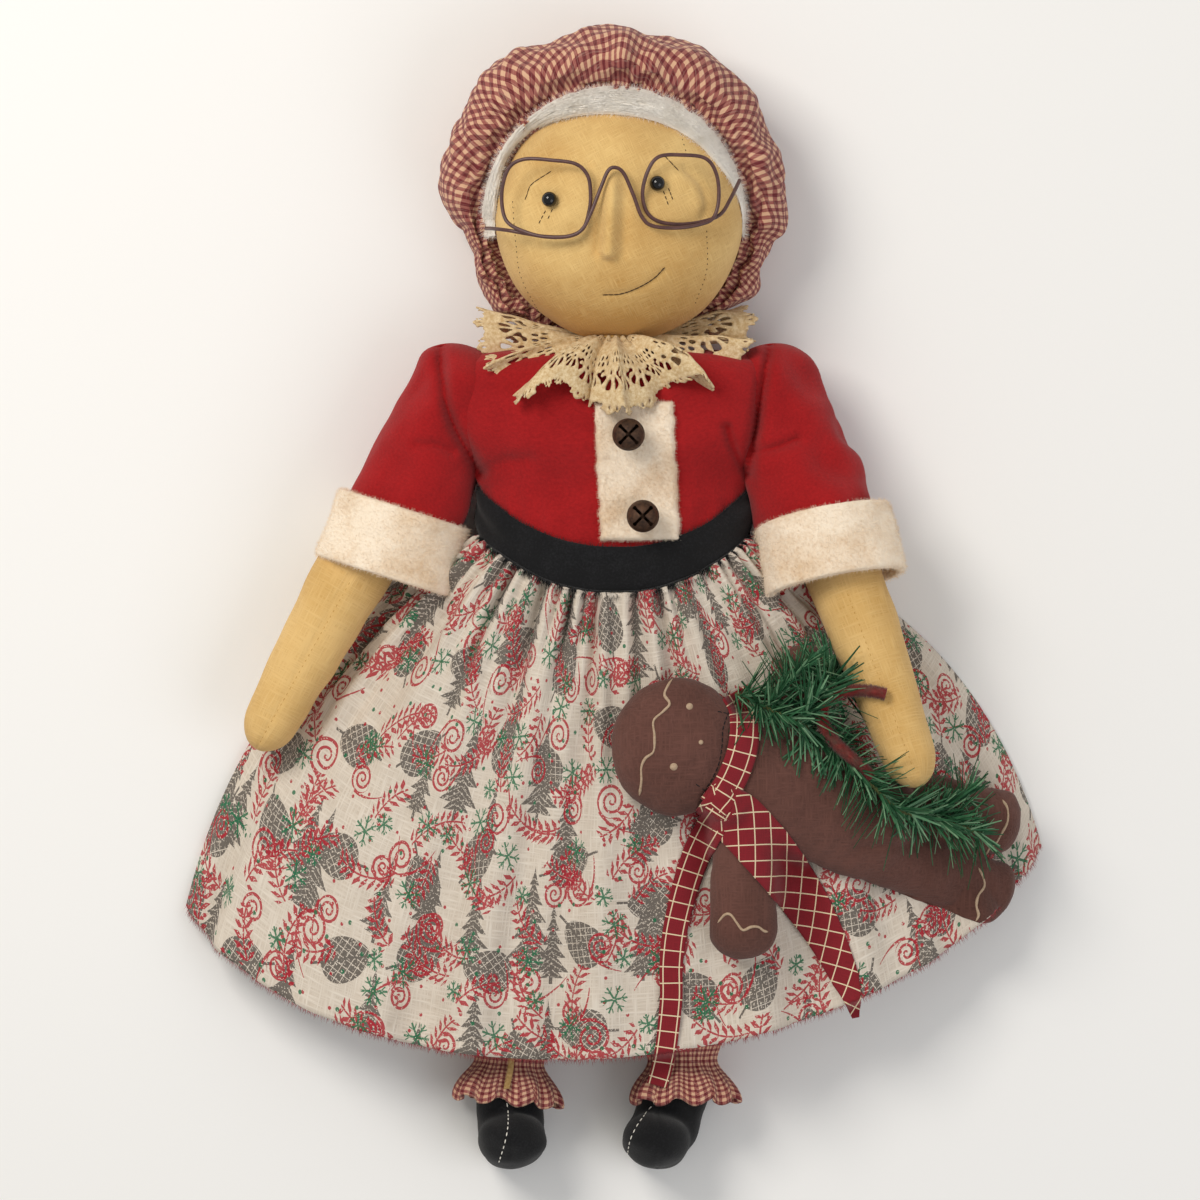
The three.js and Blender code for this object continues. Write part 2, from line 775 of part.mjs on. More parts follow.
// Legs, boots and pantaloons
function legLine(side) {
  const hip = hips[side];
  const ankle = at(hip.x + ankleShift[side], hip.y - legLength, legHeight);
  return { hip, ankle, line: ankle.clone().sub(hip).normalize() };
}

function legForm(side, grow) {
  const { hip, ankle } = legLine(side);
  const leg = stuffed({
    from: hip,
    to: ankle,
    wide: [legRadius, legRadius * 0.9],
    deep: [legRadius, legRadius * 0.9],
    round: [12, 8],
    swell: 0.08,
    sides: 10,
    rings: 5,
    grow,
  });
  return solid(leg);
}

function bootForm(side, grow) {
  const { ankle, line } = legLine(side);
  const heel = at(ankle.x + toeShift[side], ankle.y - bootLength + bootHalfWidth, 0);
  const shaft = stuffed({
    from: along(ankle, line, -6),
    to: at(heel.x, heel.y - bootHalfWidth * 0.6, bootHalfWidth * 0.9),
    wide: [bootHalfWidth, bootHalfWidth],
    deep: [bootHalfWidth, bootHalfWidth],
    round: [2, bootHalfWidth],
    sides: 12,
    rings: 6,
    grow,
  });
  const foot = stuffed({
    from: at(heel.x, heel.y, -0.5),
    mid: at(heel.x, heel.y - 1, toeHeight * 0.45),
    to: at(heel.x + toeShift[side] * 0.15, heel.y + 1, toeHeight),
    wide: [bootHalfWidth, bootHalfWidth],
    deep: [bootHalfWidth * 0.95, bootHalfWidth * 0.8],
    round: [9, bootHalfWidth],
    up: at(0, 1, 0),
    sides: 12,
    rings: 6,
    grow,
  });
  return cut(join(solid(shaft), solid(foot)), underFloor);
}

// How high the frill stands, and how far down its middle lies
const flatReach = legHeight - cloth - 2 * clearance;
const frillTop = legHeight + flatReach;
const frillLevel = waistY - hipBelowWaist - legLength - 2;

// Gingham pantaloon leg: round at the hip, pinched above the ankle, with a frill below
function pantaloonForm(side) {
  const { hip, ankle, line } = legLine(side);
  const length = ankle.distanceTo(hip) + pantaloonPastAnkle;
  const pinch = length - frillLength;
  const across = at(-line.y, line.x, 0);
  const sides = 20;
  const stations = [-14, -6, 4, 90, pinch - 12, pinch, pinch + 6, length];
  const hoops = stations.map((s) => {
    const head = roundOff(s + pantaloonRadius, pantaloonRadius);
    const gather = frillPinch * Math.exp(-(((s - pinch) / frillPinchWidth) ** 2));
    const flare = ease((s - pinch) / (length - pinch));
    const radius = pantaloonRadius * head - gather + (frillRadius - pantaloonRadius) * flare;
    const hoop = [];
    for (let k = 0; k < sides; k += 1) {
      const angle = (turn * k) / sides;
      const ripple = 1 + 0.06 * flare * Math.cos(5 * angle);
      const [a, b] = superPoint(angle, radius * ripple, Math.min(radius * ripple, flatReach), 2);
      hoop.push(along(hip, line, s).addScaledVector(across, a).addScaledVector(upward, b));
    }
    return hoop;
  });
  return solid(skin(hoops, along(hip, line, -pantaloonRadius), along(hip, line, length)));
}

// The height of the skirt's face where something lies on it
function skirtHeightAt(x, y) {
  let best = Infinity;
  let height = cloth;
  for (let i = 0; i <= 80; i += 1) {
    for (let j = 0; j <= 40; j += 1) {
      const spot = skirtFrontPoint(i / 80, j / 40);
      const distance = (spot.x - x) ** 2 + (spot.y - y) ** 2;
      if (distance < best) {
        best = distance;
        height = spot.z;
      }
    }
  }
  return height + cloth / 2;
}

const onSkirt = (x, up, lift) => at(x, waistY + up, skirtHeightAt(x, waistY + up) + lift);

// A place on the skirt measured from the tip of the left arm, which holds the sprig and its wire
const leftHand = along(shoulders.left, armLines.left, armLength);
const byHand = (x, up, lift) => onSkirt(leftHand.x + x, leftHand.y - waistY + up, lift);

// Gingerbread man
const gingerParts = {
  ginger_head: {
    from: onSkirt(-1.5, -64, gingerHalfDepth),
    to: onSkirt(48, -83, gingerHalfDepth),
    wide: [gingerHead, gingerHead],
    deep: [gingerHalfDepth + 2, gingerHalfDepth + 2],
    round: [gingerHead, gingerHead],
  },
  ginger_body: {
    from: onSkirt(34, -80, gingerHalfDepth),
    to: onSkirt(122, -118, gingerHalfDepth),
    wide: [gingerHalfWidth * 0.8, gingerHalfWidth],
    deep: [gingerHalfDepth, gingerHalfDepth],
    round: [14, 14],
    swell: 0.12,
  },
  ginger_leg_lower: {
    from: onSkirt(98, -116, gingerHalfDepth - 1),
    to: onSkirt(166, -142, gingerHalfDepth - 1),
    wide: [gingerLimb, gingerLimb],
    deep: [gingerHalfDepth - 1, gingerHalfDepth - 1],
    round: [8, 9],
  },
  ginger_leg_upper: {
    from: onSkirt(104, -96, gingerHalfDepth - 1),
    to: onSkirt(170, -112, gingerHalfDepth - 1),
    wide: [gingerLimb, gingerLimb],
    deep: [gingerHalfDepth - 1, gingerHalfDepth - 1],
    round: [8, 9],
  },
  ginger_arm_lower: {
    from: onSkirt(55, -98, gingerHalfDepth - 1),
    to: onSkirt(51, -160, gingerHalfDepth - 1),
    wide: [gingerLimb, gingerLimb],
    deep: [gingerHalfDepth - 1, gingerHalfDepth - 1],
    round: [8, 12],
  },
  ginger_arm_upper: {
    from: onSkirt(62, -80, gingerHalfDepth - 1),
    to: onSkirt(86, -38, gingerHalfDepth - 1),
    wide: [gingerLimb, gingerLimb],
    deep: [gingerHalfDepth - 2, gingerHalfDepth - 2],
    round: [8, 10],
  },
};

const gingerForm = (name, grow) => solid(stuffed({ ...gingerParts[name], sides: 12, rings: 6, grow }));

// Scarf: a band round the neck, a knot and two tails
function scarfBand() {
  const middle = at(45, waistY - 83, 0);
  const line = at(0.929, -0.369, 0);
  const height = skirtHeightAt(middle.x, middle.y) + gingerHalfDepth;
  middle.z = height;
  return solid(stuffed({
    from: along(middle, line, -scarfWidth / 2),
    to: along(middle, line, scarfWidth / 2),
    wide: [gingerHalfWidth - 1, gingerHalfWidth - 1],
    deep: [gingerHalfDepth + 3, gingerHalfDepth + 3],
    round: [3, 3],
    sides: 12,
    rings: 3,
  }));
}

function scarfKnot(grow) {
  return solid(stuffed({
    from: onSkirt(37, -98, 2 * gingerHalfDepth - 1),
    to: onSkirt(48, -107, 2 * gingerHalfDepth - 1),
    wide: [6, 6],
    deep: [4, 4],
    round: [5, 5],
    sides: 10,
    rings: 5,
    grow,
  }));
}

function tail({ points, widths, down = 11 }, grow = 0) {
  const line = new THREE.CatmullRomCurve3(points, false, 'centripetal');
  const point = (u, v) => {
    const tangent = line.getTangent(v);
    const side = tangent.cross(upward).normalize();
    const width = mix(widths[0], widths[1], v) + 2 * grow;
    return line.getPoint(v).addScaledVector(side, (u - 0.5) * width);
  };
  return solid(sheet({ point, across: 2, down, thick: scarfThickness + 2 * grow }));
}

const overGinger = 2 * gingerHalfDepth + scarfThickness;
const ribbonLift = clearance + scarfThickness;
const tails = {
  scarf_tail_long: {
    points: [
      onSkirt(41, -107, overGinger),
      onSkirt(33, -126, 6),
      onSkirt(28, -155, 2),
      onSkirt(25, -190, 2),
      at(20, frillLevel, frillTop + ribbonLift),
    ],
    widths: [12, 9],
  },
  scarf_tail_wide: {
    points: [
      onSkirt(47, -108, overGinger),
      onSkirt(66, -124, overGinger - 3),
      onSkirt(84, -152, 5),
      onSkirt(94, -172, 2),
      onSkirt(102, -190, 2),
    ],
    widths: [19, 14],
  },
};

// The end of a ribbon that ties the pantaloon, lying on the frill
const ribbonEnd = {
  points: [at(-43, frillLevel + 12, frillTop + ribbonLift), at(-45, frillLevel, frillTop + ribbonLift)],
  widths: [2.6, 2.6],
  down: 3,
};

// Pine sprig: a twisted stem with needles set round its upper side
const sprigLine = new THREE.CatmullRomCurve3([
  byHand(-75, 37, 2 * gingerHalfDepth + 3),
  byHand(-47, 19, 2 * gingerHalfDepth + 5),
  byHand(-17, -3, 2 * gingerHalfDepth + 5),
  byHand(13, -19, 2 * gingerHalfDepth + 5),
  byHand(39, -32, 2 * gingerHalfDepth + 4),
], false, 'centripetal');

function sprig(start, end) {
  const frame = (share) => {
    const base = sprigLine.getPoint(share);
    const tangent = sprigLine.getTangent(share);
    const side = tangent.clone().cross(upward).normalize();
    const over = side.clone().cross(tangent);
    const out = (angle) => side.clone().multiplyScalar(Math.cos(angle)).addScaledVector(over, Math.sin(angle));
    return { base, tangent, out };
  };
  const rings = [];
  for (let i = 0; i <= stemSteps; i += 1) {
    const { base, out } = frame(mix(start, end, i / stemSteps));
    const ring = [];
    for (let k = 0; k < 6; k += 1) {
      ring.push(along(base, out(radians(30 + 60 * k)), stemRadius));
    }
    rings.push(ring);
  }
  const stem = solid(skin(rings, sprigLine.getPoint(start), sprigLine.getPoint(end)));
  const rows = needlesPerSprig / needlesPerRow;
  const needles = [];
  for (let row = 0; row < rows; row += 1) {
    const { base, tangent, out } = frame(mix(start, end, (row + 0.5) / rows));
    for (let spoke = 0; spoke < needlesPerRow; spoke += 1) {
      const angle = radians(60 * spoke + 9 * ((row % 3) - 1));
      const lean = out(angle).addScaledVector(tangent, 0.45).normalize();
      const reach = needleLength * (0.9 + 0.1 * Math.cos(row * 2.4 + spoke));
      const needle = new THREE.ConeGeometry(needleRadius, reach, 3);
      needle.translate(0, reach / 2, 0);
      needle.applyQuaternion(new THREE.Quaternion().setFromUnitVectors(at(0, 1, 0), lean));
      needles.push(solid(needle.translate(base.x, base.y, base.z)));
    }
  }
  return join(stem, ...needles);
}

function chenilleForm(grow) {
  const height = 2 * gingerHalfDepth + 12;
  const route = [
    byHand(-21, 41, height - 4), byHand(-28, 44, height + 2), byHand(-37, 44, height + 1),
    byHand(-38, 32, height), byHand(-32, 21, height), byHand(-24, 13, height), byHand(-17, 5, height - 2),
  ];
  return solid(rod(route, chenilleRadius + grow, 6, 24));
}

// Finish of each material
const finishes = {
  muslin: { color: '#c99f52', roughness: 0.95 },
  redFelt: { color: '#8e1414', roughness: 0.95 },
  creamFelt: { color: '#e3d2b2', roughness: 0.95 },
  lace: { color: '#dcc8a0', roughness: 0.9 },
  blackCloth: { color: '#16171b', roughness: 0.9 },
  printCloth: { color: '#d8cbb5', roughness: 0.9 },
  gingham: { color: '#8c4a42', roughness: 0.9 },
  fleece: { color: '#ece4d6', roughness: 1 },
  blackGlass: { color: '#0a0a0c', roughness: 0.15 },
  brownWire: { color: '#5b3a36', roughness: 0.4, metalness: 0.6 },
  rustyIron: { color: '#4a382c', roughness: 0.6, metalness: 0.7 },
  brownCloth: { color: '#4b302a', roughness: 0.95 },
  scarfCloth: { color: '#861421', roughness: 0.85 },
  ribbon: { color: '#a5875a', roughness: 0.9 },
  pineGreen: { color: '#2c5b38', roughness: 0.7 },
  chenille: { color: '#7a1d1a', roughness: 1 },
};

const doll = new THREE.Group();

function add(name, body, finish) {
  const geometry = body.isBufferGeometry ? body : geometryOf(body);
  const mesh = new THREE.Mesh(geometry, new THREE.MeshStandardMaterial(finishes[finish]));
  mesh.name = name;
  doll.add(mesh);
}

// Body and dress
const armholes = [armhole('right', clearance), armhole('left', clearance)];
const neck = neckForm(clearance);
const legSockets = ['right', 'left'].map((side) => ball(hips[side], pantaloonRadius + 2 * clearance, 16, 10));
add('torso', cut(join(torsoForm(0), neckForm(0)), ...armholes, ...legSockets), 'muslin');
const bodiceShell = cut(bodiceForm(0, 0), bodiceForm(bodiceWall, 6), torsoForm(clearance), neck);
add('bodice', mainPiece(cut(bodiceShell, ...armholes, underFloor)), 'redFelt');
add('placket', placket(), 'creamFelt');
add('belt', belt(), 'blackCloth');
add('skirt_front', skirtPanel(skirtFrontPoint, skirtColumns, skirtRows), 'printCloth');
add('skirt_back', skirtPanel(skirtBackPoint, backColumns, backRows), 'printCloth');
add('collar_lace', sheet({ point: collarPoint, across: 45, down: 2, thick: 1, loop: true }), 'lace');

for (const name of ['upper', 'lower']) {
  add(`bell_${name}`, bellForm(name), 'rustyIron');
  add(`bell_pea_${name}`, bellPea(name), 'rustyIron');
}

// Head
const eyeSockets = [eyeForm('right', clearance), eyeForm('left', clearance)];
add('head', cut(join(headForm(0), noseForm(0)), neck, ...eyeSockets), 'muslin');
const hair = mainPiece(cut(hairForm(0), headForm(clearance)));
add('hair', hair, 'fleece');
add('cap', mainPiece(cut(capForm(), headForm(clearance), hairForm(clearance), neck)), 'gingham');
add('eye_right', eyeForm('right', 0), 'blackGlass');
add('eye_left', eyeForm('left', 0), 'blackGlass');
add('glasses', spectaclesForm(), 'brownWire');

// Arms
const skirtSpace = underSkirt();
for (const side of ['right', 'left']) {
  add(`arm_${side}`, mainPiece(cut(armForm(side, 0), skirtSpace)), 'muslin');
  add(`sleeve_${side}`, mainPiece(cut(sleeve(side), skirtSpace)), 'redFelt');
  const cuffCuts = [sleeveForm(side, 0, clearance), armForm(side, clearance), skirtSpace];
  add(`cuff_${side}`, mainPiece(cut(cuffForm(side), ...cuffCuts)), 'creamFelt');
}

// Legs
for (const side of ['right', 'left']) {
  add(`leg_${side}`, legForm(side, 0), 'muslin');
  add(`boot_${side}`, cut(bootForm(side, 0), legForm(side, clearance)), 'blackCloth');
  const legCuts = [legForm(side, clearance), bootForm(side, clearance), underFloor];
  add(`pantaloon_${side}`, mainPiece(cut(pantaloonForm(side), ...legCuts)), 'gingham');
}

add('ribbon_end', tail(ribbonEnd), 'ribbon');

// Gingerbread man and what he carries
const laidOver = [armForm('left', clearance), cuffForm('left'), skirtSpace];
const gingerOrder = Object.keys(gingerParts);
const gingerCuts = {
  ginger_head: [],
  ginger_body: ['ginger_head'],
  ginger_leg_lower: ['ginger_body'],
  ginger_leg_upper: ['ginger_body', 'ginger_leg_lower'],
  ginger_arm_lower: ['ginger_head', 'ginger_body'],
  ginger_arm_upper: ['ginger_head', 'ginger_body'],
};
for (const name of gingerOrder) {
  const others = gingerCuts[name].map((other) => gingerForm(other, clearance));
  add(name, mainPiece(cut(gingerForm(name, 0), ...others, ...laidOver)), 'brownCloth');
}
const gingerGrown = gingerOrder.map((name) => gingerForm(name, clearance));
add('scarf_band', mainPiece(cut(scarfBand(), ...gingerGrown, scarfKnot(clearance), ...laidOver)), 'scarfCloth');
add('scarf_knot', mainPiece(cut(scarfKnot(0), ...gingerGrown)), 'scarfCloth');

const bandForm = scarfBand();
const tailCuts = [...gingerGrown, bandForm, scarfKnot(clearance), skirtSpace];
const longTailSpace = tail(tails.scarf_tail_long, clearance);
add('scarf_tail_long', mainPiece(cut(tail(tails.scarf_tail_long), ...tailCuts)), 'scarfCloth');
add('scarf_tail_wide', mainPiece(cut(tail(tails.scarf_tail_wide), longTailSpace, ...tailCuts)), 'scarfCloth');
add('chenille_stem', mainPiece(cut(chenilleForm(0), armForm('left', clearance))), 'chenille');
const sprigCuts = [...gingerGrown, ...laidOver, bandForm, chenilleForm(clearance)];
for (let i = 0; i < sprigCount; i += 1) {
  const start = (i + 0.004) / sprigCount;
  const end = (i + 0.996) / sprigCount;
  add(`sprig_${i + 1}`, mainPiece(cut(sprig(start, end), ...sprigCuts)), 'pineGreen');
}

export default doll;
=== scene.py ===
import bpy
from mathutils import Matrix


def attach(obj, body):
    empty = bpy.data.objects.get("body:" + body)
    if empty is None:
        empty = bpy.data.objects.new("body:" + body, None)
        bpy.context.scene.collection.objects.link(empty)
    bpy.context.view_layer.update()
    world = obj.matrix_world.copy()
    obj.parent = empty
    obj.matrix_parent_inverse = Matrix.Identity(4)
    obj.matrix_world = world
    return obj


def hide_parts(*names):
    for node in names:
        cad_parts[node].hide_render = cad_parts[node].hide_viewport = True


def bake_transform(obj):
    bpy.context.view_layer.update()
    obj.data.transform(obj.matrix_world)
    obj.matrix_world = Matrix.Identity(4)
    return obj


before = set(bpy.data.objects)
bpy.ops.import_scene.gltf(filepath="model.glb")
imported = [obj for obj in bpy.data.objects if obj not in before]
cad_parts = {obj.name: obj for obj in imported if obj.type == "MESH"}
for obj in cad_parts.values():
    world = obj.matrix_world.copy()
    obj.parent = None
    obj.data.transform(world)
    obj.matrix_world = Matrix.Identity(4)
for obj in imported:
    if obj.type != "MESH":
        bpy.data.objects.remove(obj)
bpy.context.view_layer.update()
import ast
import math
import bpy
import bmesh
import numpy as np
from mathutils import Vector
from mathutils.bvhtree import BVHTree

# A cloth grandmother doll lying on its back: lengths are in millimetres until a mesh is made.
mm = 0.001
pixel = 0.42  # millimetres a pixel of the photograph
photoMiddle = (614, 600)  # the pixel that lies over the origin
turn = 2 * math.pi
scene = bpy.context.scene
scene.view_settings.view_transform = "Standard"


def linear(hexColour):  # sRGB hex to the linear colour that a shader wants
    parts = [int(hexColour[i:i + 2], 16) / 255 for i in (1, 3, 5)]
    return (*[c / 12.92 if c <= 0.04045 else ((c + 0.055) / 1.055) ** 2.4 for c in parts], 1.0)


def mix(a, b, t):
    return a + (b - a) * t


def ease(t):
    t = np.clip(t, 0, 1)
    return t * t * (3 - 2 * t)


def bump(x, centre, width):
    return np.exp(-((x - centre) / width) ** 2)


def roundOff(distance, reach):
    share = np.clip(distance / reach, 0, 1)
    return np.sqrt(np.maximum(0, 1 - (1 - share) ** 2))


def superPoint(angle, halfWidth, halfDepth, power=2):
    c, s = np.cos(angle), np.sin(angle)
    x = halfWidth * np.sign(c) * np.abs(c) ** (2 / power)
    y = halfDepth * np.sign(s) * np.abs(s) ** (2 / power)
    return x, y


def stack(*parts):
    return np.stack(np.broadcast_arrays(*parts), axis=-1)


def unit(v):
    return v / np.maximum(np.linalg.norm(v, axis=-1, keepdims=True), 1e-9)


def runAlong(line):  # the distance run at each point of a line
    return np.concatenate([[0], np.cumsum(np.linalg.norm(np.diff(line, axis=0), axis=1))])


def onPhoto(px, py):  # a place in the photograph, in millimetres
    return (px - photoMiddle[0]) * pixel, (photoMiddle[1] - py) * pixel


def crumple(points, size, seed, waves=14):  # smooth noise between about -1 and 1, the same on each run
    order = np.random.default_rng(seed)
    total = 0
    for _ in range(waves):
        direction = unit(order.normal(size=3)) * order.uniform(0.5, 1.6) * turn / size
        total = total + np.sin(points @ direction + order.uniform(0, turn))
    return total / math.sqrt(waves)


def smoothLine(points, count):  # evenly spaced points on a centripetal curve through the given ones
    points = np.array(points, float)
    ends = np.vstack([2 * points[0] - points[1], points, 2 * points[-1] - points[-2]])
    fine = []
    for a, b, c, d in zip(ends, ends[1:], ends[2:], ends[3:]):
        t = np.linspace(0, 1, 24, endpoint=False)[:, None]
        fine.append(0.5 * (2 * b + (c - a) * t + (2 * a - 5 * b + 4 * c - d) * t ** 2
                           + (3 * b - a - 3 * c + d) * t ** 3))
    fine = np.vstack([*fine, points[-1:]])
    length = runAlong(fine)
    wanted = np.linspace(0, length[-1], count)
    return np.stack([np.interp(wanted, length, fine[:, k]) for k in range(fine.shape[1])], axis=-1)


def flatLine(points, count):  # a line given in the photograph's pixels, seen from above
    return smoothLine([onPhoto(*p) for p in points], count)


def awayFrom(x, y, line):
    return np.min([np.hypot(x - a, y - b) for a, b in line], axis=0)


def normalsOf(grid):
    across = np.gradient(grid, axis=1)
    down = np.gradient(grid, axis=0)
    return unit(np.cross(down, across))


def wrapped(grid):  # a looped grid with a column more at each end
    return np.concatenate([grid[:, -1:], grid, grid[:, :1]], axis=1)


def closed(ring):
    return np.vstack([ring, ring[:1]])


def relaxed(line, passes):  # a line whose heights are evened out
    for _ in range(passes):
        line[1:-1, 2] = (line[:-2, 2] + line[2:, 2]) / 2
    return line


def bridged(height, passes):  # cloth bridges small hollows below it
    for _ in range(passes):
        height[1:-1] = np.maximum(height[1:-1], (height[:-2] + height[2:]) / 2)
        height[:, 1:-1] = np.maximum(height[:, 1:-1], (height[:, :-2] + height[:, 2:]) / 2)
    return height


def inScene(name, data):
    piece = bpy.data.objects.new(name, data)
    scene.collection.objects.link(piece)
    return piece


def worked(piece):  # the piece's mesh with its modifiers worked in
    return bpy.data.meshes.new_from_object(piece.evaluated_get(bpy.context.evaluated_depsgraph_get()))


def dropped(piece):
    old = piece.data
    bpy.data.objects.remove(piece)
    (bpy.data.curves if isinstance(old, bpy.types.Curve) else bpy.data.meshes).remove(old)


def fromShape(name, shape, materials):  # a finished bmesh as a piece
    mesh = bpy.data.meshes.new(name)
    shape.to_mesh(mesh)
    shape.free()
    for material in materials:
        mesh.materials.append(material)
    return inScene(name, mesh)


def meshObject(name, points, faces, material, uv=None):
    mesh = bpy.data.meshes.new(name)
    mesh.from_pydata((np.asarray(points) * mm).tolist(), [], [list(map(int, f)) for f in faces])
    if uv is not None:
        layer = mesh.uv_layers.new(name="cloth")
        layer.data.foreach_set("uv", np.asarray(uv, float).ravel())
    mesh.materials.append(material)
    mesh.shade_smooth()
    return inScene(name, mesh)


def tidyMesh(piece, near=1e-6):
    shape = bmesh.new()
    shape.from_mesh(piece.data)
    bmesh.ops.remove_doubles(shape, verts=shape.verts, dist=near)
    bmesh.ops.dissolve_degenerate(shape, edges=shape.edges, dist=near)
    bmesh.ops.recalc_face_normals(shape, faces=shape.faces)
    shape.to_mesh(piece.data)
    shape.free()
    return piece


def plain(piece):  # the piece with its modifiers worked into its mesh
    made = worked(piece)
    piece.modifiers.clear()
    old, piece.data = piece.data, made
    bpy.data.meshes.remove(old)
    return piece


def walled(piece, thick):
    wall = piece.modifiers.new("wall", "SOLIDIFY")
    wall.thickness = thick * mm
    wall.offset = 0
    return plain(piece)


def surface(name, grid, material, uv=None, loop=False, thick=0, keep=None):  # rows of points, looped or not
    rows, columns = grid.shape[:2]
    wide = columns if loop else columns - 1
    i, j = np.meshgrid(np.arange(wide), np.arange(rows - 1))
    i, j = i.ravel(), j.ravel()
    if keep is not None:
        chosen = keep[j, i]
        i, j = i[chosen], j[chosen]
    nextColumn = (i + 1) % columns
    faces = np.stack([j * columns + i, j * columns + nextColumn,
                      (j + 1) * columns + nextColumn, (j + 1) * columns + i], axis=-1)
    corners = None
    if uv is not None:  # uv has one column more than a looped grid
        corners = np.stack([uv[j, i], uv[j, i + 1], uv[j + 1, i + 1], uv[j + 1, i]], axis=1)
    piece = meshObject(name, grid.reshape(-1, 3), faces, material, corners)
    tidyMesh(piece)
    if thick:
        tidyMesh(walled(piece, thick))
    return piece


def around(points, radius, sides=8):  # rings about a line, for cords, wires and threads
    points = np.asarray(points, float)
    tangent = unit(np.gradient(points, axis=0))
    side = unit(np.cross(tangent[0], [0.13, 0.21, 1.0]))
    rings = []
    for k, (spot, t) in enumerate(zip(points, tangent)):
        side = unit(side - t * (side @ t))
        over = np.cross(t, side)
        size = radius[k] if np.ndim(radius) else radius
        angle = np.arange(sides) * turn / sides
        rings.append(spot + size * (np.outer(np.cos(angle), side) + np.outer(np.sin(angle), over)))
    return np.array(rings)


def tube(name, points, radius, material, sides=8):
    rings = around(points, radius, sides)
    count = len(rings)
    faces = []
    for r in range(count - 1):
        for k in range(sides):
            n = (k + 1) % sides
            faces.append([r * sides + k, r * sides + n, (r + 1) * sides + n, (r + 1) * sides + k])
    faces.append(list(range(sides))[::-1])
    faces.append([(count - 1) * sides + k for k in range(sides)])
    return tidyMesh(meshObject(name, rings.reshape(-1, 3), faces, material))


def joined(name, parts):  # several pieces of one body as one mesh
    shape = bmesh.new()
    slots = []
    for part in parts:
        start = len(shape.faces)
        shape.from_mesh(part.data)
        shape.faces.ensure_lookup_table()
        for face in shape.faces[start:]:
            used = part.data.materials[face.material_index]
            if used not in slots:
                slots.append(used)
            face.material_index = slots.index(used)
        dropped(part)
    return fromShape(name, shape, slots)


def settle(piece, body, nodes=()):  # how every finished piece joins the frame
    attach(piece, body)
    if nodes:
        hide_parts(*nodes)
    return piece


def addNode(tree, kind, settings=None, links=None):
    node = tree.nodes.new(kind)
    for key, value in (settings or {}).items():
        setattr(node, key, value)
    for key, value in (links or {}).items():
        if isinstance(value, bpy.types.NodeSocket):
            tree.links.new(value, node.inputs[key])
        else:
            node.inputs[key].default_value = value
    return node


operations = {
    ast.Add: "ADD", ast.Sub: "SUBTRACT", ast.Mult: "MULTIPLY", ast.Div: "DIVIDE", ast.Pow: "POWER",
    "sin": "SINE", "cos": "COSINE", "abs": "ABSOLUTE", "frac": "FRACT", "floor": "FLOOR", "sqrt": "SQRT",
    "atan2": "ARCTAN2", "min": "MINIMUM", "max": "MAXIMUM", "less": "LESS_THAN", "more": "GREATER_THAN",
    "fold": "PINGPONG",
}


def formula(tree, *lines, **names):  # lines of arithmetic as Math nodes, giving what the last line says
    def build(part):
        if isinstance(part, ast.Constant):
            return float(part.value)
        if isinstance(part, ast.Name):
            return names[part.id]
        if isinstance(part, ast.UnaryOp):
            kind, parts = "MULTIPLY", [build(part.operand), -1.0]
        elif isinstance(part, ast.BinOp):
            kind, parts = operations[type(part.op)], [build(part.left), build(part.right)]
        else:
            kind, parts = operations[part.func.id], [build(a) for a in part.args]
        return addNode(tree, "ShaderNodeMath", {"operation": kind}, dict(enumerate(parts))).outputs[0]

    for line in lines:
        step = ast.parse(line).body[0]
        found = build(step.value)
        if isinstance(step, ast.Assign):
            names[step.targets[0].id] = found
    return found


def blendColours(tree, share, first, second):
    links = {"Factor": share, 6: first, 7: second}
    return addNode(tree, "ShaderNodeMix", {"data_type": "RGBA", "clamp_factor": True}, links).outputs[2]


def noiseAt(tree, place, size, detail=2.0, rough=0.5):
    links = {"Vector": place, "Scale": 1.0 / size, "Detail": detail, "Roughness": rough}
    return addNode(tree, "ShaderNodeTexNoise", {}, links).outputs[0]


def startMaterial(name):
    material = bpy.data.materials.new(name)
    material.use_nodes = True
    tree = material.node_tree
    return material, tree, tree.nodes["Principled BSDF"]


def clothPlace(tree):  # the piece's own cloth coordinates, in millimetres
    return addNode(tree, "ShaderNodeUVMap", {"uv_map": "cloth"}).outputs[0]


def objectPlace(tree):  # object coordinates, in millimetres
    source = addNode(tree, "ShaderNodeTexCoord").outputs["Object"]
    scaled = addNode(tree, "ShaderNodeVectorMath", {"operation": "SCALE"}, {0: source, "Scale": 1000.0})
    return scaled.outputs[0]


def stretched(tree, place, x, y):
    links = {0: place, 1: (x, y, 1.0)}
    return addNode(tree, "ShaderNodeVectorMath", {"operation": "MULTIPLY"}, links).outputs[0]


def weave(tree, place, thread):  # uneven threads both ways, as a height from 0 to 1
    warp = noiseAt(tree, stretched(tree, place, 1.0, 0.06), thread, 1.0)
    weft = noiseAt(tree, stretched(tree, place, 0.06, 1.0), thread, 1.0)
    return formula(tree, "max(warp, weft)", warp=warp, weft=weft)


def finishCloth(tree, shader, colour, height, depth, roughness=0.95, sheen=0.15, strength=0.6):
    if isinstance(colour, tuple):
        shader.inputs["Base Color"].default_value = colour
    else:
        tree.links.new(colour, shader.inputs["Base Color"])
    shader.inputs["Roughness"].default_value = roughness
    shader.inputs["Specular IOR Level"].default_value = 0.2
    shader.inputs["Sheen Weight"].default_value = sheen
    shader.inputs["Sheen Roughness"].default_value = 0.6
    links = {"Height": height, "Strength": strength, "Distance": depth * mm}
    relief = addNode(tree, "ShaderNodeBump", {}, links)
    tree.links.new(relief.outputs[0], shader.inputs["Normal"])


